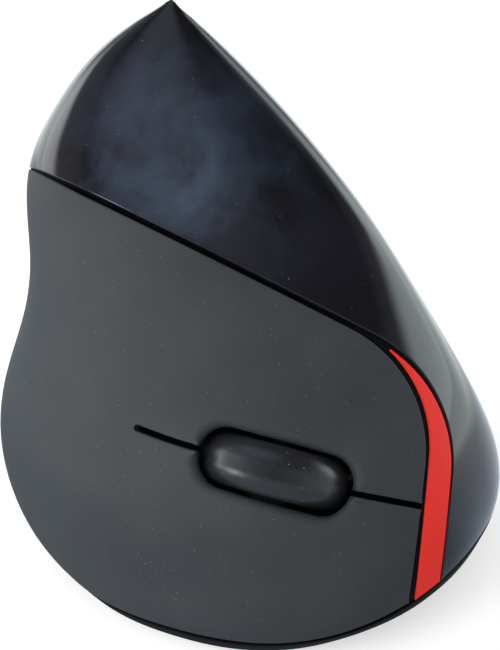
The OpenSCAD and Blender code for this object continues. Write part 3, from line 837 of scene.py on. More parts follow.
@dataclass
class Shell:
    """A closed shell cut out of the skin, with rolled edges.

    Its faces are laid out on a chart, the skin flattened around its tip with the base as its rim.
    """

    skin: BodyLines
    loops: list[list[Edge]]
    thickness: float = 2.0
    lift: float | Level = 0.0
    spacing: float = 1.4
    arc_steps: int = 5
    tip_share: float = 0.12
    tip_wall: float = 0.15
    chart_radius: float = 100.0
    chart_tip: float = 1.02
    lattice_top: float = 0.995
    lattice_least: int = 8
    lattice_turns: int = 721
    edge_room: float = 0.55

    def depth(self, q: np.ndarray) -> np.ndarray:
        """Give the shell's thickness at places q, less toward the sharp tip."""
        return self.tip_wall + (self.thickness - self.tip_wall) * eased((1 - q[:, 1]) / self.tip_share)

    def raised(self, q: np.ndarray) -> np.ndarray:
        """Give the height of the shell's face over the skin at places q."""
        return self.lift(self.skin.point(q)) if callable(self.lift) else np.full(len(q), self.lift)

    def chart(self, q: np.ndarray) -> np.ndarray:
        """Flatten places q around the tip, as seen from above it."""
        radius = self.chart_radius * (self.chart_tip - q[:, 1])
        return np.stack([radius * np.cos(q[:, 0]), radius * np.sin(q[:, 0])], 1)

    def lattice(self) -> np.ndarray:
        """Spread places evenly over the whole skin.

        Returns:
            The places, row by row, with the tip as the last.
        """
        places, rise, odd = [], 0.0, False
        dense = np.linspace(0, FULL_TURN, self.lattice_turns)
        while rise < self.lattice_top:
            row = self.skin.ring(dense, rise)
            run = np.concatenate([[0], np.cumsum(np.linalg.norm(np.diff(row, axis=0), axis=1))])
            count = max(self.lattice_least, int(run[-1] / self.spacing))
            marks = (np.arange(count) + (0.5 if odd else 0.0)) * run[-1] / count
            turns = np.interp(marks, run, dense)
            places.append(np.stack([turns, np.full_like(turns, rise)], 1))
            rise, odd = rise + self.spacing / self.chart_radius, not odd
        places.append(np.array([[0.0, 1.0]]))
        return np.concatenate(places)

    def inside(self, spots: np.ndarray, rings: list[np.ndarray]) -> np.ndarray:
        """Test which spots of the chart lie inside the outer ring and outside the holes.

        Args:
            spots: spots of the chart.
            rings: the outer ring and the holes.

        Returns:
            True for each spot inside.
        """
        hits = np.zeros(len(spots), bool)
        for ring in rings:
            for (x0, y0), (x1, y1) in zip(ring, np.roll(ring, -1, 0)):
                if y0 == y1:
                    continue
                crosses = (spots[:, 1] < y0) != (spots[:, 1] < y1)
                hits ^= crosses & (spots[:, 0] < (x1 - x0) * (spots[:, 1] - y0) / (y1 - y0) + x0)
        return hits

    def rolls(self, loop: list[Edge], points: np.ndarray) -> np.ndarray:
        """Give the radius of the rolled edge along a loop, which runs out toward sharp corners.

        Args:
            loop: the loop's stretches.
            points: the loop's points.

        Returns:
            One radius for each point.
        """
        counts = [len(edge.places) for edge in loop]
        owner, roll, ease = (np.repeat(values, counts) for values in (
            range(len(loop)), [edge.roll for edge in loop], [edge.ease for edge in loop]))
        if len(loop) == 1:
            return roll
        starts = np.diff(owner, prepend=-1) != 0
        room = [np.linalg.norm(points[(owner != own) | starts] - point, axis=1).min()
                for point, own in zip(points, owner)]
        return np.minimum(roll, ease * np.array(room))

    def border(self, loop: list[Edge]) -> Border:
        """Roll the edge along a loop.

        Args:
            loop: the loop's stretches.

        Returns:
            The rolled edge, down to its foot at the shell's back.
        """
        skin = self.skin
        q = np.concatenate([edge.places for edge in loop])
        points, normals = skin.point(q), skin.normal(q)
        roll = self.rolls(loop, points)
        run = units(np.roll(points, -1, 0) - points)
        inward = units(np.cross(normals, run + np.roll(run, 1, 0)))
        arcs = [k / self.arc_steps * math.pi / 2 for k in range(self.arc_steps + 1)]
        places = [skin.move(q, inward * (roll * (1 - math.sin(arc)))[:, None]) for arc in arcs]
        rows = []
        for arc, row in zip(arcs, places):
            up = skin.normal(row)
            drop = roll * (1 - math.cos(arc)) - self.raised(row)
            rows.append((skin.point(row) - up * drop[:, None], math.cos(arc) * up - math.sin(arc) * inward))
        rows.append((points - normals * self.depth(q)[:, None], -inward))
        return Border(places[0], rows)

    def fill(self, rings: list[np.ndarray]) -> tuple[np.ndarray, np.ndarray]:
        """Lay triangles between the rings.

        Args:
            rings: places of the outer ring and the holes.

        Returns:
            All places, those of the rings first, and the triangles.
        """
        flat = [self.chart(ring) for ring in rings]
        spread = self.lattice()
        spread = spread[self.inside(self.chart(spread), flat)]
        edge_points = np.concatenate([self.skin.point(ring) for ring in rings])
        near = np.array([np.linalg.norm(edge_points - p, axis=1).min() for p in self.skin.point(spread)])
        q = np.concatenate(rings + [spread[near > self.edge_room * self.spacing]])
        edges, first = [], 0
        for ring in rings:
            count = len(ring)
            edges += [(first + i, first + (i + 1) % count) for i in range(count)]
            first += count
        spots = self.chart(q)
        out = delaunay_2d_cdt([Vector(p) for p in spots], edges, [], 0, WELD)
        kept = [source[0] for source in out[3]]
        tris = np.array([[kept[i] for i in face] for face in out[2]])
        tris = tris[self.inside(spots[tris].mean(1), flat)]
        a, b, c = (spots[tris[:, i]] for i in range(3))
        turned = ((b - a)[:, 0] * (c - a)[:, 1] - (b - a)[:, 1] * (c - a)[:, 0]) < 0
        tris[turned] = tris[turned][:, ::-1]
        return q, tris

    def build(self, name: str) -> Piece:
        """Make the shell's mesh.

        Args:
            name: name of the piece.

        Returns:
            The new object.
        """
        borders = [self.border(loop) for loop in self.loops]
        q, tris = self.fill([border.inner for border in borders])
        points, normals = self.skin.point(q), self.skin.normal(q)
        mesh = MeshParts()
        top = mesh.points(points + self.raised(q)[:, None] * normals)
        back = mesh.points(points - self.depth(q)[:, None] * normals)
        mesh.faces(tris + top, normals[tris])
        mesh.faces((tris + back)[:, ::-1], -normals[tris][:, ::-1])
        first = 0
        for border in borders:
            count = len(border.inner)
            ring = np.arange(count)
            ids = [ring + top + first] + [ring + mesh.points(row) for row, _ in border.rows[1:]]
            facing = [row_normals for _, row_normals in border.rows]
            for k in range(len(ids) - 1):
                mesh.band(ids[k + 1], ids[k], facing[k + 1], facing[k])
            under = -normals[first:first + count]
            mesh.band(ring + back + first, ids[-1], under, under)
            first += count
        return mesh.make(name)


@dataclass
class MeshParts:
    """Collects points, faces and their normals, and makes an object of them."""

    rows: list[np.ndarray] = field(default_factory=list)
    polygons: list[tuple[int, ...]] = field(default_factory=list)
    normals: list[np.ndarray] = field(default_factory=list)
    count: int = 0

    def points(self, points: np.ndarray) -> int:
        """Add points.

        Args:
            points: points in millimetres.

        Returns:
            The index of the first.
        """
        self.rows.append(points)
        self.count += len(points)
        return self.count - len(points)

    def faces(self, faces: np.ndarray, normals: np.ndarray) -> None:
        """Add faces of one size with a normal for each corner."""
        self.polygons += [tuple(int(i) for i in f) for f in faces]
        self.normals.append(normals.reshape(-1, 3))

    def band(self, outer: np.ndarray, inner: np.ndarray, outer_normals: np.ndarray,
             inner_normals: np.ndarray) -> None:
        """Join two closed rows of points by quads.

        Args:
            outer: indices of the row on the right of its direction.
            inner: indices of the row on the left.
            outer_normals: normals along the first row.
            inner_normals: normals along the second row.
        """
        quads = np.stack([outer, np.roll(outer, -1), np.roll(inner, -1), inner], 1)
        normals = np.stack([outer_normals, np.roll(outer_normals, -1, 0),
                            np.roll(inner_normals, -1, 0), inner_normals], 1)
        self.faces(quads, normals)

    def make(self, name: str) -> Piece:
        """Make the object, in metres.

        Args:
            name: name of the piece.

        Returns:
            The object.
        """
        mesh = bpy.data.meshes.new(name)
        mesh.from_pydata((np.concatenate(self.rows) * MM).tolist(), [], self.polygons)
        mesh.polygons.foreach_set("use_smooth", [True] * len(mesh.polygons))
        if self.normals:
            mesh.normals_split_custom_set(np.concatenate(self.normals).tolist())
        return put(name, mesh)


# Sub-assemblies


@dataclass(frozen=True)
class Fit:
    """How a piece is set in: its finish, the body that it rides on and the CAD nodes that it replaces."""

    look: Look
    body: str
    nodes: tuple[str, ...] = ()


Fits = ClassVar[tuple[Fit, ...]]


class Assembly:
    """A sub-assembly, which builds its pieces and then dresses each by its own fit."""

    fits: Fits = ()

    def build(self) -> list[Piece]:
        """Make the pieces, in the order of the fits."""
        raise NotImplementedError

    def ride(self, piece: Piece, body: str) -> None:
        """Set a piece on its body."""
        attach(piece, body)

    def dress(self, pieces: list[Piece]) -> None:
        """Finish the pieces, and set each on its body in place of its CAD nodes.

        Args:
            pieces: the pieces, in the order of the fits.
        """
        for piece, fit in zip(pieces, self.fits):
            piece.data.materials.clear()
            piece.data.materials.append(fit.look.value.make())
            self.ride(piece, fit.body)
            if fit.nodes:
                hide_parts(*fit.nodes)
            log.info("%s: %d faces", piece.name, len(piece.data.polygons))


def turn_back(lines: list[Edge]) -> list[Edge]:
    """Turn a loop around, so that each stretch starts where the next one did.

    Args:
        lines: the loop's stretches.

    Returns:
        The stretches in reverse.
    """
    turned = []
    for line, following in zip(lines, lines[1:] + lines[:1]):
        places = np.concatenate([line.places[1:], following.places[:1]])[::-1]
        turned.append(Edge(places, line.roll, line.ease))
    return turned[::-1]


@dataclass
class FingerFace(Assembly):
    """Matte finger side: two springy buttons over and under the slit, in one skin with the fixed panel."""

    sketch: FaceSketch
    pen: SkinPen
    edge_gap: float = -0.4
    split_gap: float = 0.2
    rim_gap: float = 0.7
    slit_half: float = 0.45
    slit_end: float = -21.3
    slit_step: float = 0.12
    slot_length: float = 24.2
    slot_width: float = 8.6
    roll: float = 0.35
    slot_roll: float = 1.4
    slot_ease: float = 1.3
    hinge: float = -21.5
    flex: float = 3.0
    fits: Fits = (
        Fit(Look.SOFT_TOUCH, "upper_button", ("upper_button", "finger_panel")),
        Fit(Look.SOFT_TOUCH, "lower_button", ("lower_button",)),
    )

    def build(self) -> list[Piece]:
        """Cut the upper and the lower skin.

        Returns:
            The upper and the lower piece.
        """
        s, pen = self.sketch, self.pen
        edge, split, rim = s.panel(self.edge_gap), s.split(self.split_gap), s.rim(self.rim_gap)
        slot = s.slot(self.slot_length, self.slot_width)
        end = s.slit_round(self.slit_end, self.slit_half)
        half = self.slot_length / 2
        front_rim = pen.corner(edge, rim, s.at(s.panel_foot))
        rear_rim = pen.corner(split, rim, s.at_palm(s.palm_foot))
        rear_top = pen.corner(edge, split, s.at_palm(s.palm_top))
        seam_rear = pen.corner(s.slit(0), split, s.at_palm(s.palm_seam))
        seam_end = pen.corner(s.slit(0), end, s.at_wheel(0, self.slit_end - self.slit_half, 0))
        pieces = []
        for sign, name in ((1, "upper_finger_skin"), (-1, "lower_finger_skin")):
            side = s.slit(sign * self.slit_half)
            front = pen.corner(edge, side, s.at(s.slit_front))
            slot_front = pen.corner(slot, side, s.at_wheel(0, half, sign))
            slot_rear = pen.corner(slot, side, s.at_wheel(0, -half, sign))
            bend = pen.corner(end, side, s.at_wheel(0, self.slit_end, sign))
            lines = [
                Edge(pen.trace(s.slit(0), seam_rear, seam_end, s.out), SHARP),
                Edge(np.concatenate([pen.trace(end, seam_end, bend, sign * s.axle, self.slit_step),
                                     pen.trace(side, bend, slot_rear, s.along)]), self.roll),
                Edge(pen.trace(slot, slot_rear, slot_front, sign * s.axle), self.slot_roll, self.slot_ease),
                Edge(pen.trace(side, slot_front, front, s.along), self.roll),
            ]
            if sign > 0:
                lines += [
                    Edge(pen.trace(edge, front, rear_top, s.up), self.roll),
                    Edge(pen.trace(split, rear_top, seam_rear, -s.up), self.roll),
                ]
            else:
                lines = turn_back(lines + [
                    Edge(pen.trace(edge, front, front_rim, -s.up), self.roll),
                    Edge(pen.trace(rim, front_rim, rear_rim, -s.ahead), self.roll),
                    Edge(pen.trace(split, rear_rim, seam_rear, s.up), self.roll),
                ])
            pieces.append(Shell(s.skin, [lines]).build(name))
        return pieces

    def ride(self, piece: Piece, body: str) -> None:
        """Bake a skin's place into its mesh. The ends of the flexing line are worked out but not used, so the
        skin does not bend, and it is not set on its button.

        Args:
            piece: the skin.
            body: its button, not used.
        """
        start = tuple(self.sketch.at_wheel(0, self.hinge - self.flex, 0) * MM)
        end = tuple(self.sketch.at_wheel(0, self.hinge + self.flex, 0) * MM)
        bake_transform(piece)


class ThumbKey(Enum):
    """The two thumb keys, by the side of their shared middle on which each lies along Y."""

    FORWARD = 1
    BACK = -1


@dataclass
class GlossShell(Assembly):
    """High-gloss shell over the ridge, nose, palm and thumb side, with its two thumb keys."""

    sketch: FaceSketch
    pen: SkinPen
    edge_gap: float = 0.4
    split_gap: float = 0.0
    rim_gap: float = 0.4
    roll: float = 0.3
    spacing: float = 1.5
    thumb_len: float = 14.4
    thumb_h: float = 6.6
    thumb_x: float = -26.0
    thumb_y: float = -1.0
    thumb_z: float = 47.0
    thumb_turn: float = -6.0
    thumb_half_gap: float = 0.3
    thumb_side: float = -10.0
    key_gap: float = 0.35
    key_lift: float = 0.9
    key_roll: float = 0.7
    key_thickness: float = 2.4
    key_spacing: float = 0.9
    fits: Fits = (
        Fit(Look.GLOSS, "housing", ("gloss_shell",)),
        Fit(Look.THUMB_KEY, "forward_button", ("forward_button",)),
        Fit(Look.THUMB_KEY, "back_button", ("back_button",)),
    )

    def middle(self, key: ThumbKey) -> np.ndarray:
        """Give the middle of a thumb key."""
        y = self.thumb_y + key.value * (self.thumb_len / 2 + self.thumb_half_gap)
        return self.sketch.skin.home + np.array([self.thumb_x, y, self.thumb_z])

    def thumb_level(self, key: ThumbKey, grow: float) -> Level:
        """Draw the outline of a thumb key, as seen along the table.

        Args:
            key: which key.
            grow: distance outside the outline where the level is zero.

        Returns:
            Signed distance from the grown outline, negative inside it.
        """
        _, middle_y, middle_z = self.middle(key)
        turn = math.radians(self.thumb_turn)
        half = (self.thumb_len - self.thumb_h) / 2

        def level(p: np.ndarray) -> np.ndarray:
            """Measure points against the key."""
            y, z = p[:, 1] - middle_y, p[:, 2] - middle_z
            run, rise = y * math.cos(turn) + z * math.sin(turn), z * math.cos(turn) - y * math.sin(turn)
            far = np.hypot(run - np.clip(run, -half, half), rise) - self.thumb_h / 2 - grow
            return np.where(p[:, 0] < self.sketch.skin.home[0] + self.thumb_side, far, OUTSIDE)

        return level

    def thumb_ring(self, key: ThumbKey, grow: float) -> np.ndarray:
        """Trace a thumb key's outline once around.

        Args:
            key: which key.
            grow: distance outside the outline.

        Returns:
            The places around it.
        """
        middle, level = self.middle(key), self.thumb_level(key, grow)

        def across(p: np.ndarray) -> np.ndarray:
            """Measure points against the plane through the key's middle."""
            return p[:, 1] - middle[1]

        high, low = (self.pen.corner(level, across, middle + [0, 0, end * self.thumb_h / 2])
                     for end in (1, -1))
        forward = np.array([0.0, 1.0, 0.0])
        return np.concatenate([self.pen.trace(level, high, low, forward),
                               self.pen.trace(level, low, high, -forward)])

    def build(self) -> list[Piece]:
        """Cut the shell around the finger face, and the keys that stand out of its openings.

        Returns:
            The shell, the forward key and the back key.
        """
        s, pen = self.sketch, self.pen
        edge, split, rim = s.gloss(self.edge_gap), s.split(self.split_gap), s.rim(self.rim_gap)
        front = pen.corner(edge, rim, s.at(s.nose_foot))
        rear_rim = pen.corner(split, rim, s.at_palm(s.palm_foot))
        rear_top = pen.corner(edge, split, s.at_palm(s.palm_top))
        outer = pen.loop(self.roll, (rim, front, s.ahead), (split, rear_rim, s.up), (edge, rear_top, s.out))
        holes = [[Edge(self.thumb_ring(key, 0.0)[::-1], self.roll)] for key in ThumbKey]
        pieces = [Shell(s.skin, [outer] + holes, spacing=self.spacing).build("gloss_skin")]
        for key in ThumbKey:
            ring = Edge(self.thumb_ring(key, -self.key_gap), self.key_roll)
            shell = Shell(s.skin, [[ring]], self.key_thickness, self.key_lift, self.key_spacing)
            pieces.append(shell.build(f"{key.name.lower()}_key"))
        return pieces


@dataclass
class AccentStrip(Assembly):
    """Red crescent between the finger panel and the nose, with a cut tip."""

    sketch: FaceSketch
    pen: SkinPen
    inner_gap: float = 0.1
    outer_gap: float = -0.4
    rim_gap: float = 0.4
    tip_run: float = 7.2
    roll: float = 0.25
    spacing: float = 0.9
    fits: Fits = (Fit(Look.ACCENT, "housing", ("accent_strip",)),)

    def build(self) -> list[Piece]:
        """Cut the strip between its two outlines.

        Returns:
            The strip.
        """
        s, pen = self.sketch, self.pen
        inner, outer, rim = s.strip_inner(self.inner_gap), s.strip_outer(self.outer_gap), s.rim(self.rim_gap)
        inner_rim = pen.corner(inner, rim, s.at(s.panel_foot))
        outer_rim = pen.corner(outer, rim, s.at(s.strip_foot))
        outer_tip, inner_tip = (pen.corner(side, s.across(self.tip_run), s.at(s.strip_tip))
                                for side in (outer, inner))
        loop = [
            Edge(pen.trace(rim, inner_rim, outer_rim, s.ahead), self.roll),
            Edge(pen.trace(outer, outer_rim, outer_tip, s.up), self.roll),
            Edge(outer_tip[None], self.roll),
            Edge(pen.trace(inner, inner_tip, inner_rim, -s.up), self.roll),
        ]
        return [Shell(s.skin, [loop], spacing=self.spacing).build("accent_skin")]


@dataclass
class SeamBed(Assembly):
    """Ledge in the seam around the finger panel, which also carries the accent strip; its near-black colour
    is painted shade in the seam.
    """

    sketch: FaceSketch
    pen: SkinPen
    panel_gap: float = -0.22
    gloss_gap: float = 0.38
    rim_gap: float = 0.4
    split_gap: float = 0.1
    split_step: float = 0.2
    strip_sink: float = 0.3
    seam_sink: float = 1.4
    sink_start: float = 19.0
    sink_end: float = 26.0
    spacing: float = 0.9
    # Near-black finish: painted shade in the seam
    fits: Fits = (Fit(Look.SEAM, "housing"),)

    def sink(self, p: np.ndarray) -> np.ndarray:
        """Give the ledge's height over the skin, deepest along the middle of the parting line.

        Args:
            p: points.

        Returns:
            The height at each point, which is negative.
        """
        s = self.sketch
        share = eased(((p - s.seat) @ s.up - self.sink_start) / (self.sink_end - self.sink_start))
        return -self.strip_sink - (self.seam_sink - self.strip_sink) * share * (1 - s.rear_share(p))

    def build(self) -> list[Piece]:
        """Cut the ledge between the panel and the gloss shell.

        Returns:
            The ledge.
        """
        s, pen = self.sketch, self.pen
        inner, outer = s.panel(self.panel_gap), s.gloss(self.gloss_gap)
        rim, split = s.rim(self.rim_gap), s.split(self.split_gap)
        inner_rim = pen.corner(inner, rim, s.at(s.panel_foot))
        outer_rim = pen.corner(outer, rim, s.at(s.nose_foot))
        outer_top, inner_top = (pen.corner(side, split, s.at_palm(s.palm_top)) for side in (outer, inner))
        loop = pen.loop(SHARP, (rim, inner_rim, s.ahead), (outer, outer_rim, s.up),
                        (split, outer_top, -s.up, self.split_step), (inner, inner_top, s.out))
        return [Shell(s.skin, [loop], lift=self.sink, spacing=self.spacing).build("seam_bed")]


@dataclass
class ScrollWheel(Assembly):
    """Rubber tyre of the scroll wheel."""

    sketch: FaceSketch
    radius: float = 11.5
    width: float = 7.8
    shift: float = -0.3
    proud: float = 2.6
    bore: float = 8.2
    crown: float = 3.0
    crown_steps: int = 12
    segments: int = 144
    fits: Fits = (Fit(Look.RUBBER, "wheel", ("wheel_tyre",)),)

    def profile(self) -> tuple[np.ndarray, np.ndarray]:
        """Draw the tyre's section.

        Returns:
            Radius and height of each point, and the direction that it faces.
        """
        half, c = self.width / 2, self.crown
        points, faces = [(self.bore, -half)], [(0.0, -1.0)]
        arcs = [math.radians(90 * k / self.crown_steps) for k in range(self.crown_steps + 1)]
        for sign, run in ((-1, arcs[::-1]), (1, arcs)):
            for arc in run:
                way = (math.cos(arc), sign * math.sin(arc))
                points.append((self.radius - c + c * way[0], sign * (half - c) + c * way[1]))
                faces.append(way)
        points += [(self.bore, half), (self.bore, half), (self.bore, -half)]
        faces += [(0.0, 1.0), (-1.0, 0.0), (-1.0, 0.0)]
        return np.array(points), np.array(faces)

    def build(self) -> list[Piece]:
        """Turn the section about the axle.

        Returns:
            The tyre.
        """
        s = self.sketch
        points, faces = self.profile()
        hub = s.at_wheel(self.proud - self.radius, 0, self.shift)
        mesh = MeshParts()
        turns = around(self.segments)
        spoke = np.cos(turns)[:, None] * s.out + np.sin(turns)[:, None] * s.along
        ids = [np.arange(self.segments) + mesh.points(hub + r * spoke + z * s.axle) for r, z in points]
        facing = [r * spoke + z * s.axle for r, z in faces]
        for k in range(len(ids) - 1):
            if np.linalg.norm(points[k + 1] - points[k]) > WELD:
                mesh.band(ids[k], ids[k + 1], facing[k], facing[k + 1])
        tyre = mesh.make("tyre_tread")
        weld(tyre)
        return [tyre]


def weld(piece: Piece) -> None:
    """Merge doubled points, keeping the faces' own normals.

    Args:
        piece: the piece that changes.
    """
    work = bmesh.new()
    work.from_mesh(piece.data)
    bmesh.ops.remove_doubles(work, verts=work.verts, dist=WELD)
    work.to_mesh(piece.data)
    work.free()


def rounded(half_x: float, half_y: float, radius: float, steps: int = 8) -> np.ndarray:
    """Draw a rounded rectangle about the origin, counter-clockwise.

    Args:
        half_x: half its width.
        half_y: half its length.
        radius: corner radius.
        steps: steps in each corner.

    Returns:
        Its points.
    """
    corners = []
    for k, (x, y) in enumerate(((1, 1), (-1, 1), (-1, -1), (1, -1))):
        arc = (np.linspace(0, 1, steps + 1) + k) * math.pi / 2
        corners.append(np.stack([x * (half_x - radius) + radius * np.cos(arc),
                                 y * (half_y - radius) + radius * np.sin(arc)], 1))
    return np.concatenate(corners)


@dataclass
class Stack(MeshParts):
    """Closed solids, each made of level rings with a cap at both ends, around a home point."""

    home: np.ndarray = field(default_factory=lambda: np.zeros(3))
    least_radius: float = 0.05
    drum_sides: int = 40

    def add(self, rings: list[np.ndarray]) -> None:
        """Add one solid.

        Args:
            rings: its rings, lowest first, each counter-clockwise from above.
        """
        size = len(rings[0])
        first = self.points(np.concatenate(rings) + self.home)
        self.polygons.append(tuple(first + i for i in reversed(range(size))))
        self.polygons.append(tuple(self.count - size + i for i in range(size)))
        for low in range(first, self.count - size, size):
            for i in range(size):
                j = (i + 1) % size
                self.polygons.append((low + i, low + j, low + size + j, low + size + i))

    def block(self, middle: Spot, half: Spot, radius: float, levels: Levels) -> None:
        """Add a rounded block.

        Args:
            middle: place of its middle.
            half: half its width and half its length.
            radius: corner radius.
            levels: how far the outline grows and the height, from the bottom up.
        """
        rings = []
        for grow, z in levels:
            ring = rounded(half[0] + grow, half[1] + grow, max(radius + grow, self.least_radius)) + middle
            rings.append(np.column_stack([ring, np.full(len(ring), z)]))
        self.add(rings)

    def drum(self, middle: Spot, levels: Levels) -> None:
        """Add a turned solid.

        Args:
            middle: place of its axis.
            levels: radii and heights, from the bottom up.
        """
        turn = around(self.drum_sides)
        self.add([np.column_stack([middle[0] + r * np.cos(turn), middle[1] + r * np.sin(turn),
                                   np.full(self.drum_sides, z)]) for r, z in levels])

    def solid(self, name: str, crease: float = CREASE) -> Piece:
        """Make the object, with sharp edges over the crease angle.

        Args:
            name: name of the piece.
            crease: angle in degrees.

        Returns:
            The object.
        """
        piece = self.make(name)
        smooth(piece, crease)
        return piece


def smooth(piece: Piece, crease: float) -> None:
    """Shade a piece smooth, with sharp edges over an angle in degrees."""
    piece.data.polygons.foreach_set("use_smooth", [True] * len(piece.data.polygons))
    piece.data.set_sharp_from_angle(angle=math.radians(crease))


def settle(piece: Piece) -> None:
    """Turn a piece's modifiers into plain mesh.

    Args:
        piece: the piece that changes.
    """
    result = piece.evaluated_get(bpy.context.evaluated_depsgraph_get())
    mesh = bpy.data.meshes.new_from_object(result)
    piece.modifiers.clear()
    old, piece.data = piece.data, mesh
    mesh.name = piece.name
    bpy.data.meshes.remove(old)


def carve(piece: Piece, joined: Piece, cut: Piece) -> None:
    """Join solids to a piece and cut others out of it.

    Args:
        piece: the piece that changes.
        joined: solids to add, which are used up.
        cut: solids to take away, which are used up.
    """
    for tool, way in ((joined, "UNION"), (cut, "DIFFERENCE")):
        step = piece.modifiers.new(way.lower(), "BOOLEAN")
        step.operation, step.solver, step.object = way, "EXACT", tool
    settle(piece)
    for tool in (joined, cut):
        bpy.data.objects.remove(tool)
    weld(piece)
    smooth(piece, CREASE)


@dataclass
class BaseTray(Assembly):
    """Black base: a tray with a rolled rim, walls around the cells, recesses for door, screws and switch.

    Walls and feet are given by their middle and their half sizes. Levels give how far an outline grows, or
    the radius of a round part, and the height, from the bottom up.
    """

    sketch: FaceSketch
    turns: int = 192
    side_rows: int = 5
    rim_limit: float = 0.3
    rim_rounds: int = 30
    lip_gap: float = 2.45
    lip_flex: float = 0.95
    lip_wall: float = 0.85
    lip_height: float = 1.6
    floor_top: float = 3.0
    floor_inset: float = 2.6
    edge: float = 0.4
    bend_steps: tuple[float, ...] = (0, 0.25, 0.5, 0.75, 1)
    walls: tuple[tuple[Spot, Spot], ...] = (
        ((0.6, 1.0), (0.55, 25.55)), ((-22.6, 1.0), (0.55, 16.45)),
        ((-6.95, -24.0), (6.45, 0.55)), ((-6.95, 26.0), (6.45, 0.55)))
    wall_corner: float = 0.3
    wall_levels: Levels = ((0.0, 2.0), (0.0, 8.7), (-0.2, 9.0))
    door: tuple[Spot, Spot] = ((-11.0, 1.0), (10.75, 23.25))
    door_corner: float = 2.5
    door_levels: Levels = ((0.85, 0.4), (0.35, 1.1), (0.35, 2.0), (-0.9, 2.0), (-0.9, 9.0))
    sensor: tuple[Spot, Spot] = ((8.5, -1.0), (3.5, 2.5))
    sensor_corner: float = 0.8
    sensor_levels: Levels = ((0.9, 0.4), (0.0, 1.3), (0.0, 9.0))
    switch: tuple[Spot, Spot] = ((10.95, -12.8), (1.7, 3.3))
    switch_corner: float = 0.5
    switch_levels: Levels = ((0.7, 0.4), (0.0, 1.1), (0.0, 9.0))
    shell_screws: tuple[Spot, ...] = ((-26.2, -14.0), (-26.2, 15.0), (4.4, 23.2), (11.0, -21.5))
    frame_screws: tuple[Spot, ...] = ((20.9, -5.0), (9.9, 19.4))
    screw_levels: Levels = ((2.6, 0.4), (2.2, 0.8), (2.2, 2.0), (1.2, 2.0), (1.2, 9.0))
    board_screws: tuple[Spot, ...] = ((5.35, 13.5), (16.35, 13.5), (5.35, -15.0), (16.35, -15.0))
    post_levels: Levels = ((1.9, 2.0), (1.9, 6.2))
    pilot_levels: Levels = ((1.0, 2.4), (1.0, 9.0))
    feet: tuple[tuple[Spot, Spot], ...] = (
        ((15.6, 19.0), (3.0, 3.0)), ((17.2, -13.7), (3.2, 3.2)), ((-27.0, 0.5), (3.2, 8.0)))
    foot_corner: float = 2.9
    foot_crease: float = 60.0
    foot_levels: Levels = ((-0.7, 0.0), (-0.35, 0.05), (-0.12, 0.18), (0.0, 0.4), (0.0, 0.8))
    fits: Fits = (
        Fit(Look.BASE_BLACK, "housing", ("base_plate",)),
        Fit(Look.GLIDE, "housing", ("glide_feet",)),
    )

    def rim_share(self, turn: np.ndarray) -> np.ndarray:
        """Find the share of the lines at which the skin meets the rim.

        Args:
            turn: turns around the body.

        Returns:
            The share at each turn.
        """
        low, high = np.zeros_like(turn), np.full_like(turn, self.rim_limit)
        for _ in range(self.rim_rounds):
            half = (low + high) / 2
            p = self.sketch.skin.ring(turn, half)
            under = p[:, 2] < self.sketch.rim_top(p[:, 1])
            low, high = np.where(under, half, low), np.where(under, high, half)
        return low

    def inset(self, points: np.ndarray, by: float | np.ndarray) -> np.ndarray:
        """Move a level ring's points inward in its own plane.

        Args:
            points: the ring.
            by: one distance, or one for each point.

        Returns:
            The smaller ring.
        """
        run = np.roll(points, -1, 0) - np.roll(points, 1, 0)
        inward = np.stack([-run[:, 1], run[:, 0], np.zeros(len(run))], 1)
        return points + np.reshape(by, (-1, 1)) * units(inward)

    def bent(self, one: np.ndarray, mid: np.ndarray, two: np.ndarray) -> list[np.ndarray]:
        """Round the corner at mid, between rings one and two, by a short curve of rings."""
        return [(1 - t) ** 2 * one + 2 * t * (1 - t) * mid + t * t * two for t in self.bend_steps]

    def tub(self) -> Piece:
        """Loft the tray over the skin, with rolled edges and a lip behind the shells, clear of the buttons.

        Returns:
            The tray without walls and openings.
        """
        skin, turn = self.sketch.skin, around(self.turns)
        top = self.rim_share(turn)
        foot, crest = skin.ring(turn, 0.0), skin.ring(turn, top)
        ease = self.edge / np.maximum(crest[:, 2] - foot[:, 2], 2 * self.edge)
        rings = self.bent(self.inset(foot, self.edge), foot, skin.ring(turn, top * ease))
        rings += [skin.ring(turn, top * (ease + (1 - 2 * ease) * k / self.side_rows))
                  for k in range(1, self.side_rows)]
        rings += self.bent(skin.ring(turn, top * (1 - ease)), crest, self.inset(crest, self.edge))
        gap = self.lip_gap + self.lip_flex * np.clip(2 * np.cos(turn), 0, 1)
        for by, up in ((gap, 0.0), (gap, self.lip_height), (gap + self.lip_wall, self.lip_height)):
            ring = self.inset(crest, by)
            ring[:, 2] = self.sketch.rim_top(ring[:, 1]) + up
            rings.append(ring)
        floor = self.inset(foot, self.floor_inset)
        floor[:, 2] = self.floor_top
        tray = Stack()
        tray.add(rings + [floor])
        return tray.solid("base_tray")

    def build(self) -> list[Piece]:
        """Make the tray with its walls, posts and recesses, and the glide feet with rounded soles.

        Returns:
            The tray and the feet.
        """
        home = self.sketch.skin.home
        tray = self.tub()
        more, cut, feet = Stack(home=home), Stack(home=home), Stack(home=home)
        for wall in self.walls:
            more.block(*wall, self.wall_corner, self.wall_levels)
        for screw in self.board_screws:
            more.drum(screw, self.post_levels)
        cut.block(*self.door, self.door_corner, self.door_levels)
        cut.block(*self.sensor, self.sensor_corner, self.sensor_levels)
        cut.block(*self.switch, self.switch_corner, self.switch_levels)
        for screw in self.shell_screws + self.frame_screws:
            cut.drum(screw, self.screw_levels)
        for screw in self.board_screws:
            cut.drum(screw, self.pilot_levels)
        carve(tray, more.solid("tray_walls"), cut.solid("tray_cuts"))
        for foot in self.feet:
            feet.block(*foot, self.foot_corner, self.foot_levels)
        return [tray, feet.solid("foot_pads", self.foot_crease)]


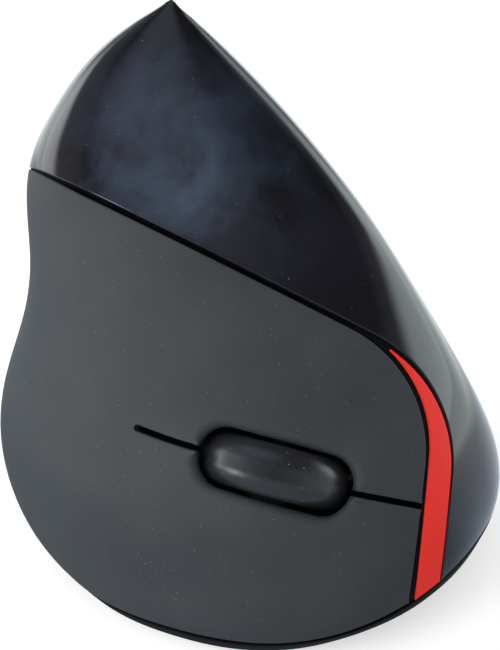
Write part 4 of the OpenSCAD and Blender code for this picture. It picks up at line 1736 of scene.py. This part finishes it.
@dataclass
class BatteryDoor(Assembly):
    """Door of the cells in the base, with a finger notch, grip ribs outside and stiff ribs inside."""

    tray: BaseTray
    levels: Levels = ((-0.35, 0.8), (-0.1015, 0.9015), (0.0, 1.15), (0.0, 2.0))
    rib_half: float = 0.6
    rib_corner: float = 0.3
    rib_spots: tuple[float, ...] = (-8.2, 0.0, 8.2)
    rib_end: float = 6.0
    rib_levels: Levels = ((0.0, 1.8), (0.0, 2.6), (-0.2, 2.8))
    notch_back: float = 4.0
    notch_levels: Levels = ((2.9, 0.4), (2.4, 0.95), (2.04, 1.2), (1.2, 1.3))
    grip_count: int = 5
    grip_pitch: float = 1.5
    grip_length: float = 9.0
    grip_radius: float = 0.28
    grip_start: float = 8.2
    grip_height: float = 0.8
    fits: Fits = (
        Fit(Look.BASE_BLACK, "battery_door", ("battery_door",)),
        Fit(Look.BASE_BLACK, "battery_door"),
    )

    def build(self) -> list[Piece]:
        """Make the door plate, and set the row of grip ribs beside its notch.

        Returns:
            The door and its grip.
        """
        home, ((x, y), half) = self.tray.sketch.skin.home, self.tray.door
        plate, ribs, notch = Stack(home=home), Stack(home=home), Stack(home=home)
        plate.block((x, y), half, self.tray.door_corner, self.levels)
        for rib in self.rib_spots:
            ribs.block((x + rib, y), (self.rib_half, half[1] - self.rib_end), self.rib_corner,
                       self.rib_levels)
        notch.drum((x, y + half[1] - self.notch_back), self.notch_levels)
        door = plate.solid("cell_door")
        carve(door, ribs.solid("door_ribs"), notch.solid("door_notch"))
        grip = RibRow(home, (x, y + half[1] - self.grip_start, self.grip_height), self.grip_count,
                      -self.grip_pitch, self.grip_length, self.grip_radius)
        return [door, grip.build("door_grip", Look.BASE_BLACK)]


# Repeats by Geometry Nodes


@dataclass
class NodeMaker:
    """A Geometry Nodes tree with named sizes, turned into one plain mesh."""

    name: str
    sizes: dict[str, float]
    crease: float = 40.0

    def __post_init__(self) -> None:
        """Start the tree with its inputs and output."""
        self.tree = bpy.data.node_groups.new(self.name, "GeometryNodeTree")
        face = self.tree.interface
        face.new_socket("Geometry", in_out="INPUT", socket_type="NodeSocketGeometry")
        self.keys = {size: face.new_socket(size, in_out="INPUT", socket_type="NodeSocketFloat").identifier
                     for size in self.sizes}
        face.new_socket("Geometry", in_out="OUTPUT", socket_type="NodeSocketGeometry")
        self.given = add(self.tree, "NodeGroupInput").outputs

    def place(self, spots: list[Spot3], shape: Socket, look: Look, **settings: Socket) -> Piece:
        """Set a shape on spots, run the tree and keep its mesh.

        Args:
            spots: points in metres.
            shape: the shape's output socket.
            look: finish of the result.
            settings: sockets for the instances' rotation or scale.

        Returns:
            The piece.
        """
        tree = self.tree
        copies = add(tree, "GeometryNodeInstanceOnPoints",
                     links={"Points": self.given["Geometry"], "Instance": shape, **settings})
        real = add(tree, "GeometryNodeRealizeInstances", links={"Geometry": copies.outputs[0]})
        coloured = add(tree, "GeometryNodeSetMaterial", links={"Geometry": real.outputs[0]},
                       Material=look.value.make())
        add(tree, "NodeGroupOutput", links={"Geometry": coloured.outputs[0]})
        mesh = bpy.data.meshes.new(self.name)
        mesh.from_pydata(spots, [], [])
        piece = put(self.name, mesh)
        step = piece.modifiers.new(self.name, "NODES")
        step.node_group = tree
        for size, value in self.sizes.items():
            step[self.keys[size]] = value
        settle(piece)
        piece.data.polygons.foreach_set("material_index", [0] * len(piece.data.polygons))
        smooth(piece, self.crease)
        return piece


@dataclass
class RibRow:
    """A row of low ribs with soft ends."""

    home: np.ndarray
    start: Spot3
    count: int
    pitch: float
    length: float
    radius: float
    segments: int = 20
    rings: int = 10

    def build(self, name: str, look: Look) -> Piece:
        """Set the ribs along Y.

        Args:
            name: name of the piece.
            look: its finish.

        Returns:
            The row.
        """
        nodes = NodeMaker(name, {"Half Length": self.length / 2 * MM, "Radius": self.radius * MM})
        bead = add(nodes.tree, "GeometryNodeMeshUVSphere", Segments=self.segments, Rings=self.rings,
                   Radius=1.0)
        size = add(nodes.tree, "ShaderNodeCombineXYZ", links={
            "X": nodes.given["Half Length"], "Y": nodes.given["Radius"], "Z": nodes.given["Radius"]})
        spots = [tuple((self.home + self.start + [0, k * self.pitch, 0]) * MM) for k in range(self.count)]
        return nodes.place(spots, bead.outputs["Mesh"], look, Scale=size.outputs[0])


@dataclass
class SliderGrip(Assembly):
    """Grip ribs under the power slider."""

    home: np.ndarray
    start: Spot3 = (10.95, -15.0, 0.95)
    count: int = 4
    pitch: float = 0.8
    length: float = 2.0
    radius: float = 0.16
    fits: Fits = (Fit(Look.SLIDER, "power_slider"),)

    def build(self) -> list[Piece]:
        """Set the row of ribs, as the only piece."""
        row = RibRow(self.home, self.start, self.count, self.pitch, self.length, self.radius)
        return [row.build("slider_grip", Look.SLIDER)]


class Heading(Enum):
    """Way in which a screw's shank points, as its turn about X."""

    UP = 0.0
    DOWN = math.pi


@dataclass
class ScrewSet(Assembly):
    """Pan-head cross-recess screws with rolled threads.

    A seat is the height of the face under the screws' heads, and a length that of their shanks.
    """

    tray: BaseTray
    shell_seat: float = 2.0
    shell_length: float = 7.0
    frame_seat: float = 2.0
    frame_length: float = 4.0
    board_seat: float = 7.8
    board_length: float = 4.4
    head_radius: float = 2.0
    head_height: float = 1.2
    head_sides: int = 40
    rim_share: float = 0.6
    crown_low: float = 0.97
    crown_high: float = 0.74
    shank_radius: float = 0.82
    shank_sides: int = 24
    thread_radius: float = 0.18
    thread_pitch: float = 0.7
    thread_start: float = 0.7
    thread_short: float = 1.0
    thread_steps: int = 20
    thread_sides: int = 6
    recess_length: float = 2.8
    recess_width: float = 0.5
    recess_depths: Spot = (0.6, 0.63)
    sink: float = 0.1
    fits: Fits = tuple(
        Fit(Look.SCREW, "housing", (node,)) for node in ("shell_screws", "frame_screws", "board_screws"))

    def build(self) -> list[Piece]:
        """Set all screws.

        Returns:
            The screws of the shells, of the inner frame and of the main board.
        """
        t = self.tray
        return [
            self.row("shell_screw_set", t.shell_screws, self.shell_seat, self.shell_length, Heading.UP),
            self.row("frame_screw_set", t.frame_screws, self.frame_seat, self.frame_length, Heading.UP),
            self.row("board_screw_set", t.board_screws, self.board_seat, self.board_length, Heading.DOWN),
        ]

    def row(self, name: str, spots: tuple[Spot, ...], seat: float, length: float, heading: Heading) -> Piece:
        """Set one screw on each spot.

        Args:
            name: name of the piece.
            spots: places of the screws.
            seat: height of the face under their heads.
            length: length of the shanks.
            heading: way in which the shanks point.

        Returns:
            The screws as one piece.
        """
        threaded = length - self.thread_short
        nodes = NodeMaker(name, {
            "Head Radius": self.head_radius * MM, "Shank Radius": self.shank_radius * MM,
            "Thread Radius": self.thread_radius * MM, "Thread Turns": threaded / self.thread_pitch,
            "Thread Length": threaded * MM, "Turn": heading.value})
        tree, given = nodes.tree, nodes.given

        def shifted(shape: Socket, z: float) -> Socket:
            """Move a shape along the screw by a length in millimetres."""
            return add(tree, "GeometryNodeTransform", links={"Geometry": shape},
                       Translation=(0, 0, z * MM)).outputs[0]

        rim_depth = self.rim_share * self.head_height
        rim = add(tree, "GeometryNodeMeshCylinder", links={"Radius": given["Head Radius"]},
                  Vertices=self.head_sides, Depth=rim_depth * MM)
        crown = add(tree, "GeometryNodeMeshCone", Vertices=self.head_sides,
                    Radius_Top=self.crown_low * self.head_radius * MM,
                    Radius_Bottom=self.crown_high * self.head_radius * MM,
                    Depth=(self.head_height - rim_depth + self.sink) * MM)
        shank = add(tree, "GeometryNodeMeshCylinder", links={"Radius": given["Shank Radius"]},
                    Vertices=self.shank_sides, Depth=length * MM)
        whole = add(tree, "GeometryNodeMeshBoolean", {"operation": "UNION"})
        for shape, z in ((rim, -rim_depth / 2), (crown, -self.head_height), (shank, length / 2 - self.sink)):
            tree.links.new(shifted(shape.outputs["Mesh"], z), whole.inputs["Mesh 2"])
        cross = add(tree, "GeometryNodeMeshBoolean", {"operation": "DIFFERENCE"}, {0: whole.outputs[0]})
        sides = (self.recess_length, self.recess_width)
        for side, depth in zip((sides, sides[::-1]), self.recess_depths):
            bar = add(tree, "GeometryNodeMeshCube", Size=tuple(v * MM for v in (*side, 2 * depth)))
            tree.links.new(shifted(bar.outputs["Mesh"], -self.head_height), cross.inputs["Mesh 2"])
        helix = add(tree, "GeometryNodeCurveSpiral", links={
            "Rotations": given["Thread Turns"], "Start Radius": given["Shank Radius"],
            "End Radius": given["Shank Radius"], "Height": given["Thread Length"]},
            Resolution=self.thread_steps)
        wire = add(tree, "GeometryNodeCurvePrimitiveCircle", links={"Radius": given["Thread Radius"]},
                   Resolution=self.thread_sides)
        thread = add(tree, "GeometryNodeCurveToMesh", links={
            "Curve": helix.outputs[0], "Profile Curve": wire.outputs[0]}, Fill_Caps=True)
        screw = add(tree, "GeometryNodeJoinGeometry")
        for part in (shifted(thread.outputs[0], self.thread_start), cross.outputs[0]):
            tree.links.new(part, screw.inputs[0])
        turn = add(tree, "ShaderNodeCombineXYZ", links={"X": given["Turn"]})
        rotation = add(tree, "FunctionNodeEulerToRotation", links={0: turn.outputs[0]})
        home = self.tray.sketch.skin.home
        points = [tuple((home + np.array([x, y, seat])) * MM) for x, y in spots]
        return nodes.place(points, screw.outputs[0], Look.SCREW, Rotation=rotation.outputs[0])


# Studio


@dataclass(frozen=True)
class Glow:
    """A bright patch of the studio's walls, as gloss shows it.

    Near and far are cosines of the angles from its middle at which it is full and gone. It ends softly at a
    top height, if that is under 1.
    """

    way: Spot3
    colour: Spot3
    near: float
    far: float
    top: float = 2.0
    soft: float = 0.05

    def make(self, tree: Tree, way: Socket, height: Socket) -> Socket:
        """Draw the patch.

        Args:
            tree: the world's tree.
            way: direction that is looked in.
            height: upward part of that direction.

        Returns:
            The patch's colour.
        """
        facing = add(tree, "ShaderNodeVectorMath", {"operation": "DOT_PRODUCT"}, {0: way})
        facing.inputs[1].default_value = Vector(self.way).normalized()
        share = add(tree, "ShaderNodeMapRange", {"interpolation_type": "SMOOTHSTEP"},
                    {"Value": facing.outputs["Value"]}, From_Min=self.far, From_Max=self.near).outputs[0]
        if self.top < 1:
            under = add(tree, "ShaderNodeMapRange", {"interpolation_type": "SMOOTHSTEP"}, {"Value": height},
                        From_Min=self.top + self.soft, From_Max=self.top - self.soft)
            share = add(tree, "ShaderNodeMath", {"operation": "MULTIPLY"},
                        {0: share, 1: under.outputs[0]}).outputs[0]
        patch = add(tree, "ShaderNodeVectorMath", {"operation": "SCALE"}, {"Scale": share})
        patch.inputs[0].default_value = self.colour
        return patch.outputs[0]


@dataclass(frozen=True)
class Softbox:
    """A soft lamp that looks at the mouse, in metres, with the brightness of its face, where 1 is white."""

    name: str
    place: Spot3
    width: float
    height: float
    glow: float
    aim: Spot3 = (0.0, 0.0, 0.035)

    def hang(self) -> None:
        """Set the lamp up, unseen in gloss."""
        data = bpy.data.lights.new(self.name, "AREA")
        data.shape, data.size, data.size_y = "RECTANGLE", self.width, self.height
        data.energy = self.glow * math.pi * self.width * self.height
        lamp = put(self.name, data)
        lamp.visible_glossy = False
        lamp.location = self.place
        lamp.rotation_euler = (Vector(self.aim) - Vector(self.place)).to_track_quat("-Z", "Y").to_euler()


@dataclass
class Studio:
    """Pale floor, soft light and the photograph's camera.

    The camera's place is in millimetres, its focal length in pixels of the photograph, the floor in metres.
    """

    sketch: FaceSketch
    aim_height: float = 30.0
    distance: float = 500.0
    aim_right: float = 0.002173
    aim_up: float = 0.01783
    focal: float = 3300.0
    photo_height: float = 650.0
    sensor: float = 36.0
    clip: float = 0.01
    floor_size: float = 6.0
    fill: float = 0.8
    floor_shade: float = 0.6
    floor_glow: float = 0.56
    sweep_reach: float = 0.15
    sweep_glow: float = 2.4
    sweep_steps: Stops = ((0.0, "#646b76"), (0.1, "#808996"), (0.55, "#a8b0b4"), (0.80, "#e8f2f0"))
    walls: Stops = ((0.0, "#c4c8cc"), (0.3, "#86898d"), (0.47, "#6c7075"), (0.56, "#17181b"))
    glows: tuple[Glow, ...] = (
        Glow((0.05, -0.97, 0.08), (2.3, 2.3, 2.35), 0.95, 0.80, top=0.22),
        Glow((-0.75, 0.55, 0.15), (2.05, 2.35, 2.4), 0.96, 0.84, top=0.36, soft=0.08),
        Glow((0.13, -0.29, 0.94), (0.38, 0.44, 0.56), 0.99, 0.74),
        Glow((0.75, -0.65, 0.12), (9.0, 9.3, 9.6), 0.996, 0.985),
    )
    lamps: tuple[Softbox, ...] = (
        Softbox("front_softbox", (0.72, -0.40, 0.34), 0.6, 0.6, 5.3),
        Softbox("left_softbox", (0.20, -0.80, 0.30), 0.6, 0.5, 2.5),
    )

    def camera(self) -> None:
        """Set the camera up along the finger face's own direction."""
        s = self.sketch
        place = s.skin.home + np.array([0, 0, self.aim_height]) + self.distance * s.out
        aim = -s.out + self.aim_right * s.ahead + self.aim_up * s.up
        data = bpy.data.cameras.new("photo_camera")
        data.lens = self.focal * self.sensor / self.photo_height
        data.sensor_width, data.clip_start = self.sensor, self.clip
        camera = put("photo_camera", data)
        camera.location = Vector(place * MM)
        camera.rotation_euler = Vector(aim).to_track_quat("-Z", "Y").to_euler()
        bpy.context.scene.camera = camera

    def floor(self) -> None:
        """Lay a pale floor that keeps the shadow, brighter behind it in gloss, and clear from below."""
        mesh = bpy.data.meshes.new("floor")
        h = self.floor_size / 2
        mesh.from_pydata([(-h, -h, 0), (h, -h, 0), (h, h, 0), (-h, h, 0)], [], [(0, 1, 2, 3)])
        floor = put("floor", mesh)
        material = bpy.data.materials.new("white_paper_sweep")
        tree = fresh_tree(material)
        rays = add(tree, "ShaderNodeLightPath").outputs
        seen = add(tree, "ShaderNodeMath", {"operation": "MAXIMUM"},
                   {0: rays["Is Camera Ray"], 1: rays["Is Transmission Ray"]})
        shade = add(tree, "ShaderNodeBsdfDiffuse", Color=(self.floor_shade,) * 3 + (1,))
        glow = add(tree, "ShaderNodeEmission", links={"Strength": seen.outputs[0]},
                   Color=(self.floor_glow,) * 3 + (1,))
        paper = add(tree, "ShaderNodeAddShader", links={0: shade.outputs[0], 1: glow.outputs[0]})
        place = add(tree, "ShaderNodeTexCoord").outputs["Object"]
        behind = add(tree, "ShaderNodeMapping", {"vector_type": "TEXTURE"}, {"Vector": place},
                     Rotation=(0, 0, math.pi), Scale=(self.sweep_reach, 1, 1))
        sweep = add(tree, "ShaderNodeTexGradient", {"gradient_type": "LINEAR"}, {"Vector": behind.outputs[0]})
        steps = add(tree, "ShaderNodeValToRGB", links={"Fac": sweep.outputs["Fac"]}, stops=self.sweep_steps)
        mirrored = add(tree, "ShaderNodeEmission", links={"Color": steps.outputs[0]},
                       Strength=self.sweep_glow)
        upper = add(tree, "ShaderNodeMixShader", links={
            0: rays["Is Glossy Ray"], 1: paper.outputs[0], 2: mirrored.outputs[0]})
        clear = add(tree, "ShaderNodeBsdfTransparent")
        both = add(tree, "ShaderNodeMixShader", links={
            0: add(tree, "ShaderNodeNewGeometry").outputs["Backfacing"], 1: upper.outputs[0],
            2: clear.outputs[0]})
        add(tree, "ShaderNodeOutputMaterial", links={"Surface": both.outputs[0]})
        mesh.materials.append(material)

    def world(self) -> None:
        """Light the room evenly. Gloss shows pale walls under a dark ceiling, and the view is white."""
        world = bpy.data.worlds.new("studio")
        bpy.context.scene.world = world
        tree = fresh_tree(world)
        rays = add(tree, "ShaderNodeLightPath").outputs
        way = add(tree, "ShaderNodeTexCoord").outputs["Generated"]
        height = add(tree, "ShaderNodeSeparateXYZ", links={0: way}).outputs["Z"]
        total = add(tree, "ShaderNodeValToRGB", links={"Fac": height}, stops=self.walls).outputs["Color"]
        for glow in self.glows:
            total = add(tree, "ShaderNodeVectorMath", {"operation": "ADD"},
                        {0: total, 1: glow.make(tree, way, height)}).outputs[0]
        mirrored = add(tree, "ShaderNodeBackground", links={"Color": total}, Strength=1.0)
        fill = add(tree, "ShaderNodeBackground", Color=WHITE, Strength=self.fill)
        white = add(tree, "ShaderNodeBackground", Color=WHITE, Strength=1.0)
        room = add(tree, "ShaderNodeMixShader", links={
            0: rays["Is Glossy Ray"], 1: fill.outputs[0], 2: mirrored.outputs[0]})
        seen = add(tree, "ShaderNodeMixShader", links={
            0: rays["Is Camera Ray"], 1: room.outputs[0], 2: white.outputs[0]})
        add(tree, "ShaderNodeOutputWorld", links={"Surface": seen.outputs[0]})

    def build(self) -> None:
        """Set up the whole studio."""
        bpy.context.scene.view_settings.view_transform = "Standard"
        self.camera()
        self.floor()
        self.world()
        for lamp in self.lamps:
            lamp.hang()


NODE_LOOKS: dict[Look, tuple[str, ...]] = {
    Look.INNER: ("inner_frame", "wheel_hub", "wheel_carrier"),
    Look.BOARD: ("button_board", "thumb_board", "main_board"),
    Look.COMPONENT: ("upper_switch", "lower_switch", "middle_switch", "thumb_switches", "scroll_encoder",
                     "radio_parts", "sensor_chip"),
    Look.LENS: ("sensor_lens", "sensor_led"),
    Look.CELL: ("battery_cells",),
    Look.SPRING: ("battery_contacts", "power_switch_case"),
    Look.RIBBON: ("ribbon_cable",),
    Look.SLIDER: ("power_slider",),
}


def finish_nodes() -> None:
    """Give each CAD node that stays in view its finish."""
    for look, names in NODE_LOOKS.items():
        for name in names:
            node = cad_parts[name]
            node.data.materials.clear()
            node.data.materials.append(look.value.make())
            log.info("%s: %s", name, look.value.name)


def main() -> None:
    """Build and dress the mouse, then the studio."""
    skin = BodyLines()
    sketch = FaceSketch(skin)
    pen = SkinPen(skin)
    tray = BaseTray(sketch)
    finish_nodes()
    for part in (FingerFace(sketch, pen), GlossShell(sketch, pen), AccentStrip(sketch, pen),
                 SeamBed(sketch, pen), ScrollWheel(sketch), tray, BatteryDoor(tray), SliderGrip(skin.home),
                 ScrewSet(tray)):
        part.dress(part.build())
    Studio(sketch).build()


if __name__ == "__main__":
    main()
